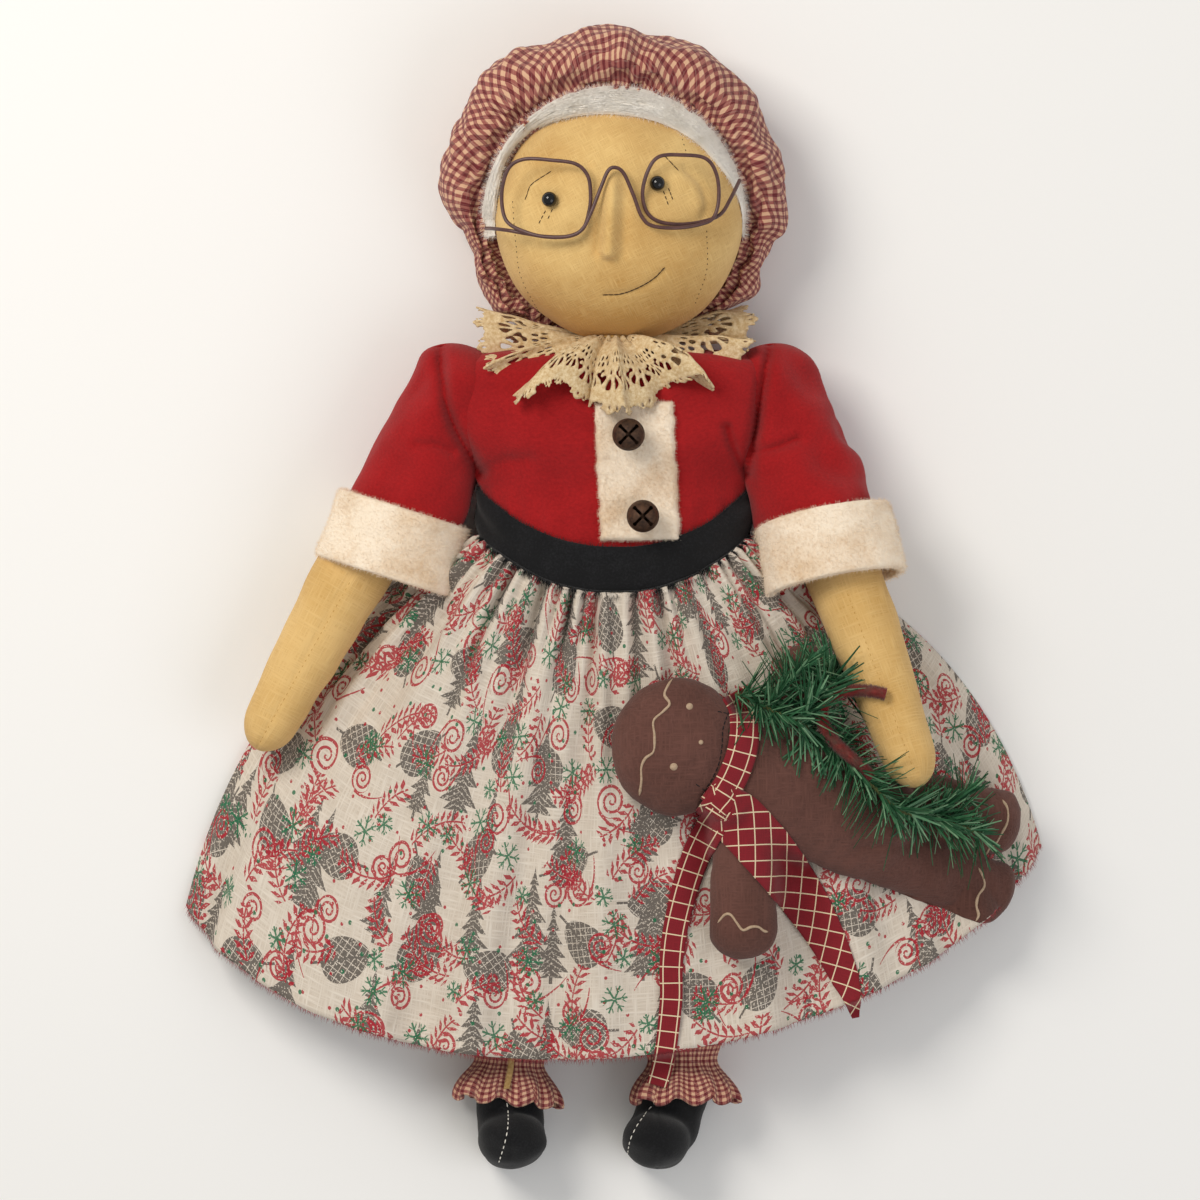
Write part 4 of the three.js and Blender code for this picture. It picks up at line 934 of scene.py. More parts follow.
def fray(name, edge, away, length, count, thread, material, seed):  # loose threads along a cut edge
    order = np.random.default_rng(seed)
    place = order.uniform(0, len(edge) - 1.001, count)
    low = place.astype(int)
    share = (place - low)[:, None]
    roots = edge[low] * (1 - share) + edge[low + 1] * share
    way = away[low] * (1 - share) + away[low + 1] * share
    reach = length * order.uniform(0.25, 1.0, count)[:, None]
    wild = order.normal(size=(count, 3)) * [0.5, 0.5, 0.25]
    tips = roots + unit(unit(way) + wild * 0.7) * reach
    tips[:, 2] = np.maximum(tips[:, 2], 0.4)
    return hairs(name, roots - unit(way) * 0.6, tips, thread, material)


frontGrid, frontUv = skirtCloth()
frontPanel = surface("skirt_front_cloth", frontGrid, printLinen, frontUv, thick=skirt["cloth"])
faceSkirt = heightOn(frontPanel)
frontFray = fray("skirt_front_fray", frontGrid[-1], frontGrid[-1] - frontGrid[-3], skirt["fray"], 1900, 0.26,
                 printLinen, 21)
settle(frontPanel, "root", ["skirt_front"])
settle(frontFray, "root")
edgeLength(frontGrid[-1]) * mm
edgeLength(frontGrid[:, 190]) * mm
gridArea(frontGrid) * mm * mm

backAlong, backDepth = np.linspace(-1, 1, skirt["backColumns"]), np.linspace(0, 1, 60) ** 1.3
backU, backV = np.broadcast_arrays(backAlong[None, :], backDepth[:, None])
backWaist = skirtWaist(-np.pi / 2 * (1 - backU))
backGrid = skirtPlan(backU, backV, backWaist)
# it falls fast in the middle, and with the front panel at the side seams
backDown = ease(np.minimum(1, backV * mix(16.0, 1 + skirt["sideDrop"], backU * backU)))
backGrid[..., 2] = mix(backWaist[..., 2], skirt["backLow"], backDown)
backAcross = runAlong(backGrid[-1])
backUv = stack(backAcross[None, :], 210.0 * (1 - backV))
backPanel = surface("skirt_back_cloth", backGrid, printLinen, backUv, thick=1.0)
settle(backPanel, "root", ["skirt_back"])
edgeLength(backGrid[-1]) * mm
edgeLength(backGrid[:, 75]) * mm
print("skirt is sewn")

belt = {"out": 1.25, "wrinkle": 0.7, "thick": 1.4, "fray": 6.0, "topFray": 2.6}
beltAngle = np.linspace(0, turn, 300, endpoint=False)[None, :]
beltDown = np.linspace(-0.5, 0.5, 15)[:, None]
beltCreases = np.sin(beltDown * 9 + 3 * np.sin(beltAngle * 2)) * belt["wrinkle"]
beltCreases = beltCreases * (0.6 + 0.4 * np.sin(5 * beltAngle))
beltOut = belt["out"] + beltCreases + 0.6 * np.cos(beltDown * 5)
beltGrid = waistLine(beltAngle, beltOut, beltDown * (beltWidth + 1.5))
beltGrid = beltGrid + crumple(beltGrid, 18.0, 8)[..., None] * [0.0, 0.25, 0.3]
beltPiece = surface("belt_cloth", beltGrid, blackCloth, loop=True, thick=belt["thick"])
lowEdge = closed(beltGrid[-1]) + [0, -0.3, 1.4]
highEdge = closed(beltGrid[0]) + [0, 0, 0.7]
lowAway = np.tile([0.0, -1.0, 0.42], (len(lowEdge), 1))
highAway = np.tile([0.0, 1.0, 0.3], (len(highEdge), 1))
beltFray = fray("belt_fray", lowEdge, lowAway, belt["fray"], 3800, 0.3, blackCloth, 5)
topFray = fray("belt_top_fray", highEdge, highAway, belt["topFray"], 1900, 0.2, blackCloth, 6)
settle(beltPiece, "root", ["belt"])
for vertex in beltFray.data.vertices:  # the loose threads lie on the gathers
    if vertex.co.z > bodyZ * mm:
        vertex.co.z = max(vertex.co.z, (faceSkirt(vertex.co.x / mm, vertex.co.y / mm) + 0.4) * mm)
beltFray = joined("belt_fray", [beltFray, topFray])
settle(beltFray, "root")
print("belt is tied")

bodice = {
    "sides": 260, "rings": 130, "folds": 1.7, "start": 4.0, "height": 88.2, "power": 2.3,
    "waistDeep": 27.4, "chestDeep": 32.0, "least": 0.3,
    "levels": [0, 23, 30, 37, 45, 53, 61, 68, 74, 79, 83, 86, 88.2],
    "halfWidths": [56, 56, 57, 60, 65, 70, 73.5, 75, 75, 73, 69, 60, 44],
}
# where sleeve and bodice fold into each other, in the photograph's pixels: points, width, depth
armCreases = [
    ([(440, 340), (441, 357), (443, 378), (446, 402), (453, 424), (464, 446), (480, 474)], 2.6, 8.5),
    ([(770, 340), (767, 362), (762, 390), (758, 415), (755, 438), (749, 474)], 2.4, 8.5),
    ([(727, 428), (733, 448), (742, 468)], 1.9, 4.2),
    ([(758, 452), (776, 448), (797, 440)], 2.2, 4.0),
    ([(486, 470), (506, 462), (528, 460)], 3.0, 2.0),
    ([(452, 452), (436, 446), (418, 445)], 2.4, 2.6),
]


def creased(grid):  # how deep the armhole's folds are at each place of the front
    x, y = grid[..., 0], grid[..., 1]
    front = ease((grid[..., 2] - bodyZ) / 8.0)
    deep = 0
    for points, width, depth in armCreases:
        deep = deep + depth * np.exp(-(awayFrom(x, y, flatLine(points, 24)) / width) ** 2)
    return deep * front


def bodiceSize(y):
    up = y - waistY
    chest = ease((up - 28.5) / 21.5)
    corner = np.maximum(0, (up - bodice["height"] * 0.62) / (bodice["height"] * 0.38))
    full = np.maximum(0, 1 - np.minimum(corner, 1) ** 3.2) ** (1 / 3.2)
    wide = np.interp(up, bodice["levels"], bodice["halfWidths"])
    return wide, mix(bodice["waistDeep"], bodice["chestDeep"], chest) * mix(full, 1, 0.3)


def bodiceFront(x, y):
    wide, deep = bodiceSize(y)
    share = np.minimum(1, np.abs(x) / wide)
    return bodyZ + deep * (1 - share ** bodice["power"]) ** (1 / bodice["power"])


bodiceLow, bodiceHigh = waistY + bodice["start"], waistY + bodice["height"]
rise = np.linspace(0, 1, bodice["rings"])
bodiceY = mix(bodiceLow, bodiceHigh, np.sin(np.pi / 2 * rise) * 0.35 + 0.65 * rise)
bodiceY[0] = bodiceLow
bodiceWide, bodiceDeep = bodiceSize(bodiceY)
angle = np.arange(bodice["sides"]) * turn / bodice["sides"]
bx, bz = superPoint(angle[None, :], bodiceWide[:, None], bodiceDeep[:, None], bodice["power"])
bodiceGrid = stack(bx, bodiceY[:, None], bodyZ + bz)
up = (bodiceY - waistY)[:, None]
sideways = np.abs(np.cos(angle))[None, :]
pit = np.maximum(0, np.sin(angle))[None, :] * bump(sideways, 0.86, 0.22)
pull = np.sin((up * 0.95 + 46 * sideways) / 6.2) * pit * bump(up, 46, 24) * bodice["folds"]
tuck = np.sin(26 * angle + 1.5 * np.sin(3 * angle))[None, :] * bump(up, 10, 14) * 0.55
rumple = crumple(bodiceGrid, 30.0, 14) * 0.55 + crumple(bodiceGrid, 12.0, 15) * 0.12
outward = unit(bodiceGrid - stack(0, bodiceY[:, None], bodyZ))
bodiceGrid = bodiceGrid + outward * (pull + tuck + rumple - 0.3)[..., None]
bodiceU = np.linspace(0, 2 * (56 + 30) * 1.6, bodice["sides"] + 1)  # its girth
bodiceUv = stack(bodiceU[None, :], bodiceY[:, None])
poleLow = np.tile([0.0, bodiceLow, bodyZ], (1, bodice["sides"], 1))
bodiceGrid[..., 2] -= creased(bodiceGrid)
bodiceGrid[..., 2] = np.maximum(bodiceGrid[..., 2], bodice["least"])  # it lies on the floor
poleHigh = np.tile([0.0, bodiceHigh, bodyZ], (1, bodice["sides"], 1))
bodiceGrid = np.concatenate([poleLow, bodiceGrid, poleHigh])
bodiceUv = np.concatenate([bodiceUv[:1], bodiceUv, bodiceUv[-1:]])
bodicePiece = surface("bodice_flannel", bodiceGrid, flannel, bodiceUv, loop=True)
settle(bodicePiece, "root", ["bodice"])

torsoGrid, torsoUv = stuffedGrid({
    "from": (0, -15, bodyZ), "to": (0, 99, bodyZ), "wide": (48, 38.4), "deep": (25, 23.2),
    "round": (22, 16), "swell": 0.03, "power": 2.3}, 56, 40)
torsoPiece = surface("torso_muslin", torsoGrid, muslin, torsoUv, loop=True)
neckGrid, neckUv = stuffedGrid({
    "from": (0, 86, neckZ), "to": (0, 122, neckZ),
    "wide": (11, 11), "deep": (11, 11), "round": (2, 2)}, 48, 20)
neckPiece = surface("neck_muslin", neckGrid, muslin, neckUv, loop=True)
torsoPiece = joined("torso_body", [torsoPiece, neckPiece])
settle(torsoPiece, "root", ["torso"])
print("bodice and body are filled")

placket = {"width": 33.0, "top": 66.0, "bottom": 8.0, "rise": 2.6, "edge": 2.4}
across, down = np.meshgrid(np.linspace(0, 1, 60), np.linspace(0, 1, 96))
py = waistY + mix(placket["top"], placket["bottom"], down)
px = 8.0 + 3 * down + (across - 0.5) * placket["width"]
px = px + 0.5 * np.sin(py * 0.6) * (across - 0.5) + crumple(stack(px, py, 0 * px), 9.0, 31) * 0.25
pillow = roundOff(np.minimum(across, 1 - across) * placket["width"], placket["edge"])
pillow = pillow * roundOff(np.minimum(down, 1 - down) * 58.0, placket["edge"])
dimple = sum(bump(np.hypot(px - x, py - y), 0, 6.5) for x, y in ((6, 69), (12, 35))) * 0.9
under = bodiceFront(px, py) - 1.2
top = bodiceFront(px, py) + 0.5 + placket["rise"] * pillow - dimple
top = top + crumple(stack(px, py, 0 * px), 7.0, 32) * 0.14
placketPiece = slab("placket_fleece", stack(px, py, top), stack(px, py, under), fleece)
placketNap = fuzz("placket_nap", placketPiece, 240, 1.3, 0.16, 0.9, 3, fleece)
settle(placketNap, "root")
settle(placketPiece, "root", ["placket"])
print("placket is laid")


arm = {"seam": 0.5, "stitch": 2.6, "sides": 72, "rings": 90, "ends": {"right": 172, "left": 179}}
sleeve = {"length": 80.0, "mouth": (25.0, 22.0), "wrinkle": 1.2}
cuff = {"start": 54.0, "wall": 3.0, "middle": 69.0}


def tubeAlong(root, line, stations, wide, deep, sides, shape=None):  # an elliptic tube on a straight line
    side = unit(np.cross(line, [0.0, 0.0, 1.0]))
    over = np.cross(side, line)
    angle = np.arange(sides) * turn / sides
    x, y = superPoint(angle[None, :], np.asarray(wide)[:, None], np.asarray(deep)[:, None])
    if shape is not None:
        grow = shape(angle[None, :], np.asarray(stations)[:, None])
        x, y = x * grow, y * grow
    grid = root + np.asarray(stations)[:, None, None] * line + x[..., None] * side + y[..., None] * over
    girth = turn * (max(wide) + max(deep)) / 2
    u = np.linspace(0, girth, sides + 1)
    run = np.concatenate([[0], np.cumsum(np.abs(np.diff(stations)) + np.abs(np.diff(wide)))])
    return grid, stack(u[None, :], run[:, None])


def makeArm(side):
    root, line = shoulders[side], armLines[side]
    middle = root + line * 86.0 + np.array([1.5 * np.sign(root[0]), 0, 0])
    form = {"from": root + line * 4, "mid": middle, "to": root + line * arm["ends"][side],
            "wide": (14, 10.4), "deep": (14, 10.4), "swell": 0.3, "round": (14, 13)}
    grid, uv = stuffedGrid(form, arm["sides"], arm["rings"])
    angle = np.arange(arm["sides"])[None, :] * turn / arm["sides"]
    groove = bump(angle, turn / 4, 0.09) * arm["seam"]
    pucker = 0.16 * np.cos(np.arange(arm["rings"])[:, None] * 1.45) * bump(angle, turn / 4, 0.32)
    centre = grid.mean(axis=1, keepdims=True)
    grid = grid + unit(grid - centre) * (pucker - groove + crumple(grid, 21.0, 41) * 0.3)[..., None]
    piece = surface(f"arm_{side}_muslin", grid, muslin, uv, loop=True)
    settle(piece, f"arm_{side}", [f"arm_{side}"])
    height = heightOn(piece)
    seamSpots = [root + line * s for s in np.linspace(92, 168, 40)]
    seamLine = np.array([(x, y, height(x, y) - 0.1) for x, y, _ in seamSpots])
    seam = sewn(f"arm_{side}_seam", [seamLine], arm["stitch"], 1.5, 0.36, tanThread)
    settle(seam, f"arm_{side}")


def makeSleeve(side):
    root, line = shoulders[side], armWay(side, sleeveAngles[side])
    outSign = np.sign(root[0])
    stations = np.concatenate([[-20.0], -20 + 24 * (1 - np.cos(np.pi / 2 * np.linspace(0.1, 1, 18))),
                               np.linspace(5.5, sleeve["length"], 74)])
    head = roundOff(stations + 20.0, 15.0)
    wide = mix(20.5, sleeve["mouth"][0], ease(stations / 60)) * head
    deep = mix(20.5, sleeve["mouth"][1], ease(stations / 60)) * head
    sides = 150

    def folds(angle, s):
        inner = bump(np.cos(angle) * outSign, -0.75, 0.5)
        fan = np.sin((s * 0.9 + 26 * np.sin(angle)) / 5.2) * bump(s, 20, 24) * inner * 0.035
        lengthwise = np.sin(5 * angle + s / 21) * 0.016 + np.sin(3 * angle - s / 13 + outSign) * 0.016
        return 1 + fan + lengthwise * ease((s + 5) / 25)

    grid, uv = tubeAlong(root, line, stations, wide, deep, sides, folds)
    centre = grid.mean(axis=1, keepdims=True)
    rumple = crumple(grid, 27.0, 52 + int(outSign)) * sleeve["wrinkle"] + crumple(grid, 11.0, 55) * 0.14
    grid = grid + unit(grid - centre) * (rumple * ease((stations + 16) / 10)[:, None])[..., None]
    grid[..., 2] = np.maximum(grid[..., 2] - creased(grid) * 0.8, 0.9)
    piece = surface(f"sleeve_{side}_flannel", grid, flannel, uv, loop=True, thick=1.1)
    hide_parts(f"sleeve_{side}")
    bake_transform(piece)
    liningGrid, _ = tubeAlong(root, line, np.linspace(79.0, 82.0, 5), [24.5] * 5, [21.5] * 5, 120)
    lining = surface(f"sleeve_{side}_lining", liningGrid, redThread, loop=True, thick=1.6)
    settle(lining, f"arm_{side}")
    edgeRing = closed(grid[-1])
    away = np.tile(line, (len(edgeRing), 1))
    threads = fray(f"sleeve_{side}_fray", edgeRing, away, 5.5, 160, 0.2, redThread, 61)
    settle(threads, f"arm_{side}")


def makeCuff(side):
    line = armWay(side, cuffAngles[side])
    middle = shoulders[side] + armWay(side, sleeveAngles[side]) * cuff["middle"]
    root = np.array([*cuffCentres[side], middle[2]]) - line * cuff["middle"]
    outline = []  # a rounded strip section, run once round: (station, distance from the sleeve)
    for s, r in ((0, 0), (0.35, 0.72), (1.5, 1), (7, 1), (15, 1), (23, 1), (28.5, 1), (29.7, 0.72), (30, 0)):
        outline.append((cuff["start"] + s, r * cuff["wall"]))
    outer = smoothLine(outline, 60)
    inner = np.array([(cuff["start"] + s, -0.8) for s in np.linspace(29.6, 0.4, 20)])
    section = np.vstack([outer, inner, outer[:1]])
    stations, off = section[:, 0], section[:, 1]
    base = 0.8 + (stations - cuff["start"]) * 0.045
    wide, deep = sleeve["mouth"][0] + base + off, sleeve["mouth"][1] + base + off

    def uneven(angle, s):
        return 1 + 0.011 * np.sin(3 * angle + s / 14) + 0.006 * np.sin(7 * angle - s / 5)

    grid, uv = tubeAlong(root, line, stations, wide, deep, 150, uneven)
    grid = grid + crumple(grid, 13.0, 71)[..., None] * 0.22 * unit(grid - grid.mean(axis=1, keepdims=True))
    piece = surface(f"cuff_{side}_fleece", grid, fleece, loop=True)
    nap = fuzz(f"cuff_{side}_nap", piece, 110, 1.5, 0.17, 0.95, 7, fleece)
    settle(piece, f"arm_{side}", [f"cuff_{side}"])
    settle(nap, f"arm_{side}")


for side in ("right", "left"):
    makeArm(side)
    makeSleeve(side)
    makeCuff(side)
print("arms are dressed")

boot = {"length": 38.0, "half": 14.5, "toe": 44.0, "voxel": 0.9}
pantaloon = {
    "radius": 17.5, "frill": 17, "tied": 3.4, "flare": 4.5, "wall": 1.4, "least": 12.9,
    "low": 16.4, "high": 16.1, "sides": 150, "cloth": 0.6,
}
toeShift = {"right": 2.0, "left": -11.0}
bootLines = {
    "right": [(502, 1092), (507, 1106), (508, 1124), (505, 1142), (499, 1162)],
    "left": [(655, 1104), (646, 1114), (637, 1126), (630, 1141), (627, 1160)],
}


def fused(name, parts, voxel, smooth, material):  # overlapping stuffed forms made one smooth skin
    piece = joined(name, parts)
    remesh = piece.modifiers.new("one skin", "REMESH")
    remesh.mode = "VOXEL"
    remesh.voxel_size = voxel * mm
    soften = piece.modifiers.new("soften", "SMOOTH")
    soften.iterations = smooth
    soften.factor = 0.5
    plain(piece)
    piece.data.materials.clear()
    piece.data.materials.append(material)
    piece.data.shade_smooth()
    return piece


def pushOut(piece, amount):  # moves each vertex along its normal by amount(points), in millimetres
    mesh = piece.data
    count = len(mesh.vertices)
    points, normals = np.empty(count * 3), np.empty(count * 3)
    mesh.vertices.foreach_get("co", points)
    mesh.vertices.foreach_get("normal", normals)
    points, normals = points.reshape(-1, 3) / mm, normals.reshape(-1, 3)
    points = points + normals * amount(points)[:, None]
    mesh.vertices.foreach_set("co", (points * mm).ravel())
    mesh.update()
    return piece


def aboveFloor(piece, low=0.05):
    for vertex in piece.data.vertices:
        vertex.co.z = max(vertex.co.z, low * mm)


def makeLeg(side):
    hip, ankle = hips[side], ankles[side]
    line = unit(ankle - hip)
    legGrid, legUv = stuffedGrid({"from": hip, "to": ankle, "wide": (12.5, 11.25), "deep": (12.5, 11.25),
                                  "round": (12, 8), "swell": 0.08}, 48, 50)
    leg = surface(f"leg_{side}_muslin", legGrid, muslin, legUv, loop=True)
    settle(leg, f"leg_{side}", [f"leg_{side}"])

    heel = np.array([ankle[0] + toeShift[side], ankle[1] - boot["length"] + boot["half"], 0])
    half = boot["half"]
    shaft, _ = stuffedGrid({"from": ankle - line * 6, "to": (heel[0], heel[1] - half * 0.6, half * 0.9),
                            "wide": (half, half), "deep": (half, half), "round": (2, half)}, 40, 30)
    foot, _ = stuffedGrid({"from": heel + [0, 0, 0.4], "mid": (heel[0], heel[1] - 1, boot["toe"] * 0.45),
                           "to": (heel[0] + toeShift[side] * 0.15, heel[1] + 1, boot["toe"]),
                           "wide": (half, half), "deep": (half * 0.95, half * 0.8), "round": (9, half),
                           "up": (0.0, 1.0, 0.0)}, 40, 30)
    parts = [surface(f"{n}_{side}", g, blackCloth, loop=True) for n, g in (("shaft", shaft), ("foot", foot))]
    shoe = fused(f"boot_{side}_cloth", parts, boot["voxel"], 10, blackCloth)

    def uneven(places):  # with a groove along the sole's middle seam
        groove = 0.5 * bump(places[:, 0], heel[0], 0.8) * (places[:, 2] > 18)
        return crumple(places, 16.0, 81) * 0.35 - 0.25 - groove

    pushOut(shoe, uneven)
    aboveFloor(shoe)
    settle(shoe, f"leg_{side}", [f"boot_{side}"])
    seamLine = photoLine(bootLines[side], 60, heightOn(shoe), 0.1)
    seam = sewn(f"boot_{side}_stitches", [seamLine], 3.0, 1.9, 0.5, whiteThread)
    settle(seam, f"leg_{side}")

    length = np.linalg.norm(ankle - hip) + 8
    pinch = length - pantaloon["frill"]
    sides = pantaloon["sides"]
    outside = np.concatenate([[-17.4, -17, -16, -14, -10, -6, 0, 6], np.linspace(12, pinch - 10, 50),
                              np.linspace(pinch - 9, length, 34)])
    inside = np.linspace(length - 0.5, pinch, 16)

    def radiusAt(s):
        flare = ease((s - pinch) / (length - pinch))
        full = pantaloon["radius"] * roundOff(s + pantaloon["radius"], pantaloon["radius"])
        return full - pantaloon["tied"] * bump(s, pinch, 7) + pantaloon["flare"] * flare, flare

    outer, outerFlare = radiusAt(outside)
    inner, innerFlare = radiusAt(inside)
    stations = np.concatenate([outside, inside])
    radius = np.concatenate([outer, np.maximum(inner - pantaloon["wall"], pantaloon["least"])])
    flareAll = np.concatenate([outerFlare, innerFlare])[:, None]
    angle = (np.arange(sides) * turn / sides)[None, :]
    ruffle = 0.06 * np.cos(5 * angle) + 0.075 * np.sin(13 * angle + 1.5 * np.sin(3 * angle))
    gather = 0.028 * np.sin(24 * angle) * bump(stations, pinch, 9)[:, None]
    swing = radius[:, None] * (1 + ruffle * flareAll + gather)
    across = np.array([-line[1], line[0], 0])
    a = swing * np.cos(angle)
    b = swing * np.sin(angle)
    limit = pantaloon["high"] + 1.5 * flareAll * np.sin(11 * angle)
    b = np.where(b < 0, np.maximum(b, -pantaloon["low"]), np.minimum(b, limit))
    grid = hip + stations[:, None, None] * line + a[..., None] * across + b[..., None] * np.array([0, 0, 1.0])
    grid = grid + line * (1.6 * flareAll * np.sin(9 * angle + 2))[..., None]
    grid = np.concatenate([np.tile(hip - line * 17.45, (1, sides, 1)), grid])
    run = np.concatenate([[0], np.cumsum(np.abs(np.diff(stations)) + np.abs(np.diff(radius)))])
    run = np.concatenate([[0], run])
    u = np.linspace(0, sides, sides + 1)
    uv = stack(u[None, :], run[:, None])
    trousers = surface(f"pantaloon_{side}_gingham", grid, legGingham, uv, loop=True, thick=pantaloon["cloth"])
    settle(trousers, f"leg_{side}", [f"pantaloon_{side}"])


for side in ("right", "left"):
    makeLeg(side)

ribbonLine = [(-43.2, -192, 36.6), (-43.4, -196, 36.2), (-44.3, -201, 35.9), (-45.2, -205.5, 35.8)]
ribbonLine = smoothLine(ribbonLine, 30)
acrossRibbon = np.linspace(-1, 1, 7)[None, :, None]
ribbonSide, ribbonSag = np.array([1.25, 0.1, 0.0]), np.array([0, 0, 0.3])
endGrid = ribbonLine[:, None] + acrossRibbon * ribbonSide - acrossRibbon ** 2 * ribbonSag
ribbonUv = stack(np.linspace(0, 2.5, 7)[None, :], np.linspace(0, 13.6, 30)[:, None])
ribbonPiece = surface("ribbon_end_twill", endGrid, tanRibbon, ribbonUv, thick=0.5)
settle(ribbonPiece, "leg_right", ["ribbon_end"])
print("legs are dressed")


def catmull(rings, steps):  # smooth rows through control rows, steps rows between each two
    ends = np.concatenate([2 * rings[:1] - rings[1:2], rings, 2 * rings[-1:] - rings[-2:-1]])
    rows, level = [], []
    for k in range(len(rings) - 1):
        a, b, c, d = ends[k:k + 4]
        for t in np.linspace(0, 1, steps, endpoint=False):
            rows.append(0.5 * (2 * b + (c - a) * t + (2 * a - 5 * b + 4 * c - d) * t ** 2
                               + (3 * b - a - 3 * c + d) * t ** 3))
            level.append(k + t)
    return np.array([*rows, rings[-1]]), np.array([*level, len(rings) - 1.0])


def nearLine(x, y, points, width):  # 1 on a line given in the photograph's pixels, fading out to its sides
    return np.exp(-(awayFrom(x, y, flatLine(points, 24)) / width) ** 2)


head = {"shift": 2.2, "noseX": -2.2, "noseTop": 183.5, "noseTip": 142.0, "noseRise": 4.9, "noseHalf": 3.4}
eyeSpots = {"right": (-27.0, 167.0), "left": (18.0, 173.6)}
eyeRadius = 3.2


def faceShape(grid, angle, share):
    x, y, z = grid[..., 0] + head["shift"], grid[..., 1], grid[..., 2]
    front = ease((z - headCentre[2]) / 18)
    down = (head["noseTop"] - y) / (head["noseTop"] - head["noseTip"])
    profile = ease(down / 0.35) * (0.55 + 0.45 * down) * (1 - ease((down - 0.93) / 0.1)) * (down < 1.05)
    bridge = x - head["noseX"] - 0.05 * (y - head["noseTip"])
    nose = head["noseRise"] * profile * bump(bridge, 0, mix(2.5, head["noseHalf"], np.clip(down, 0, 1)))
    nose = nose - 2.0 * profile * bump(bridge, -5.2, 1.8) - 1.0 * profile * bump(bridge, 5.6, 2.6)
    socket = sum(bump(np.hypot(x - a, y - b), 0, 6.0) for a, b in eyeSpots.values()) * -1.5
    cheek = -0.9 * nearLine(x, y, [(686, 172), (700, 186), (706, 204), (703, 220)], 1.7)
    cheek = cheek + 0.8 * nearLine(x, y, [(680, 180), (693, 193), (698, 208)], 3.0)
    cheek = cheek - 0.5 * nearLine(x, y, [(663, 240), (684, 247), (700, 262)], 2.0)
    dart = -0.9 * nearLine(x, y, [(589, 166), (594, 188)], 1.2)
    dart = dart - 0.4 * nearLine(x, y, [(556, 245), (582, 243)], 2.5)
    plump = 1.1 * bump(np.hypot(x + 26, y - 137), 0, 16) + 1.1 * bump(np.hypot(x - 30, y - 137), 0, 16)
    smile = -0.5 * nearLine(x, y, [(605, 297), (631, 294), (648, 285), (663, 272)], 1.3)
    soft = crumple(grid, 34.0, 91) * 0.4
    away = unit((grid - headCentre) / headHalf ** 2)
    rise = (nose + socket + cheek + dart + plump + smile) * front + soft
    moved = grid + away * rise[..., None]
    moved[..., 0] = moved[..., 0] + head["shift"]
    return moved


headGrid, _ = stuffedGrid({
    "from": headCentre - [0, headHalf[1], 0], "to": headCentre + [0, headHalf[1], 0],
    "wide": (headHalf[0],) * 2, "deep": (headHalf[2],) * 2, "round": (headHalf[1],) * 2}, 290, 200, faceShape)
fromFace = np.concatenate([headGrid, headGrid[:, :1]], axis=1) - headCentre
lean = np.arccos(np.clip(fromFace[..., 2] / np.linalg.norm(fromFace, axis=-1), -1, 1)) * 48.0
flat = unit(fromFace[..., :2])
headUv = stack((flat[..., 0] * 0.9 + flat[..., 1] * 0.44) * lean,
               (flat[..., 1] * 0.9 - flat[..., 0] * 0.44) * lean)
headPiece = surface("head_muslin", headGrid, faceMuslin, headUv, loop=True)
settle(headPiece, "head", ["head"])
onFace = heightOn(headPiece)
darkLines = {
    "brow_right": ([(526.6, 199), (532, 187), (548.5, 176)], 2.6, 3.2, 0.42),
    "brow_left": ([(665.5, 160.5), (675.5, 171)], 2.6, 3.2, 0.42),
    "lash_a": ([(545, 215), (540, 224.5)], 1.8, 1.7, 0.42),
    "lash_b": ([(552, 213.5), (549, 220)], 1.8, 1.7, 0.42),
    "lash_c": ([(668.5, 193), (671.5, 201)], 1.8, 1.7, 0.42),
    "lash_d": ([(663.5, 196), (667, 206)], 1.8, 1.7, 0.42),
    "mouth": ([(605.3, 297), (620.5, 296.2), (638.2, 289.9), (653.3, 281), (662.2, 272.2)], 2.2, 2.7, 0.5),
}
faceStitches = [sewn(n, [photoLine(p, 40, onFace, 0.12)], pitch, length, thread, darkThread)
                for n, (p, pitch, length, thread) in darkLines.items()]
seams = [[(513, 204), (516, 242), (522, 280), (545, 323)], [(678, 128), (685, 153)],
         [(706, 234), (706, 272), (695, 304)]]
seams = [photoLine(p, 60, onFace) for p in seams]
faceStitches.append(sewn("face_seams", seams, 2.3, 0.8, 0.4, darkThread))
settle(joined("face_stitches", faceStitches), "head")


def ballOf(name, centre, radius, material, detail=5):
    shape = bmesh.new()
    bmesh.ops.create_icosphere(shape, subdivisions=detail, radius=radius * mm)
    for vertex in shape.verts:
        vertex.co += Vector(np.asarray(centre) * mm)
    piece = fromShape(name, shape, [material])
    piece.data.shade_smooth()
    return piece


for side, (x, y) in eyeSpots.items():
    out = math.sqrt(1 - (x / headHalf[0]) ** 2 - ((y - headCentre[1]) / headHalf[1]) ** 2)
    bead = ballOf(f"eye_{side}_bead", (x, y, headCentre[2] + headHalf[2] * out + 0.7), eyeRadius, beadGlass)
    settle(bead, "head", [f"eye_{side}"])
print("face is sewn")

capOutline = {  # how far the puffed edge reaches from the head's centre, by angle from the doll's left
    "angles": [-90, -52, -36, -27, -18, -3, 10, 32, 48, 64, 90,
               110, 127, 151, 162, 170, 178, 183, 203, 218, 231, 270],
    "reach": [48, 55, 61, 66, 66, 71, 73, 77, 78, 81, 81, 81, 82, 79, 76, 73, 68, 63, 62, 62, 57, 48],
}
cap = {"columns": 600, "rimRadius": 56.0, "frill": 41, "pleats": 17, "puffs": 9, "fray": 2.6}


def capReach(angle):
    degrees = (np.degrees(angle) + 90) % 360 - 90
    return np.interp(degrees, capOutline["angles"], capOutline["reach"])


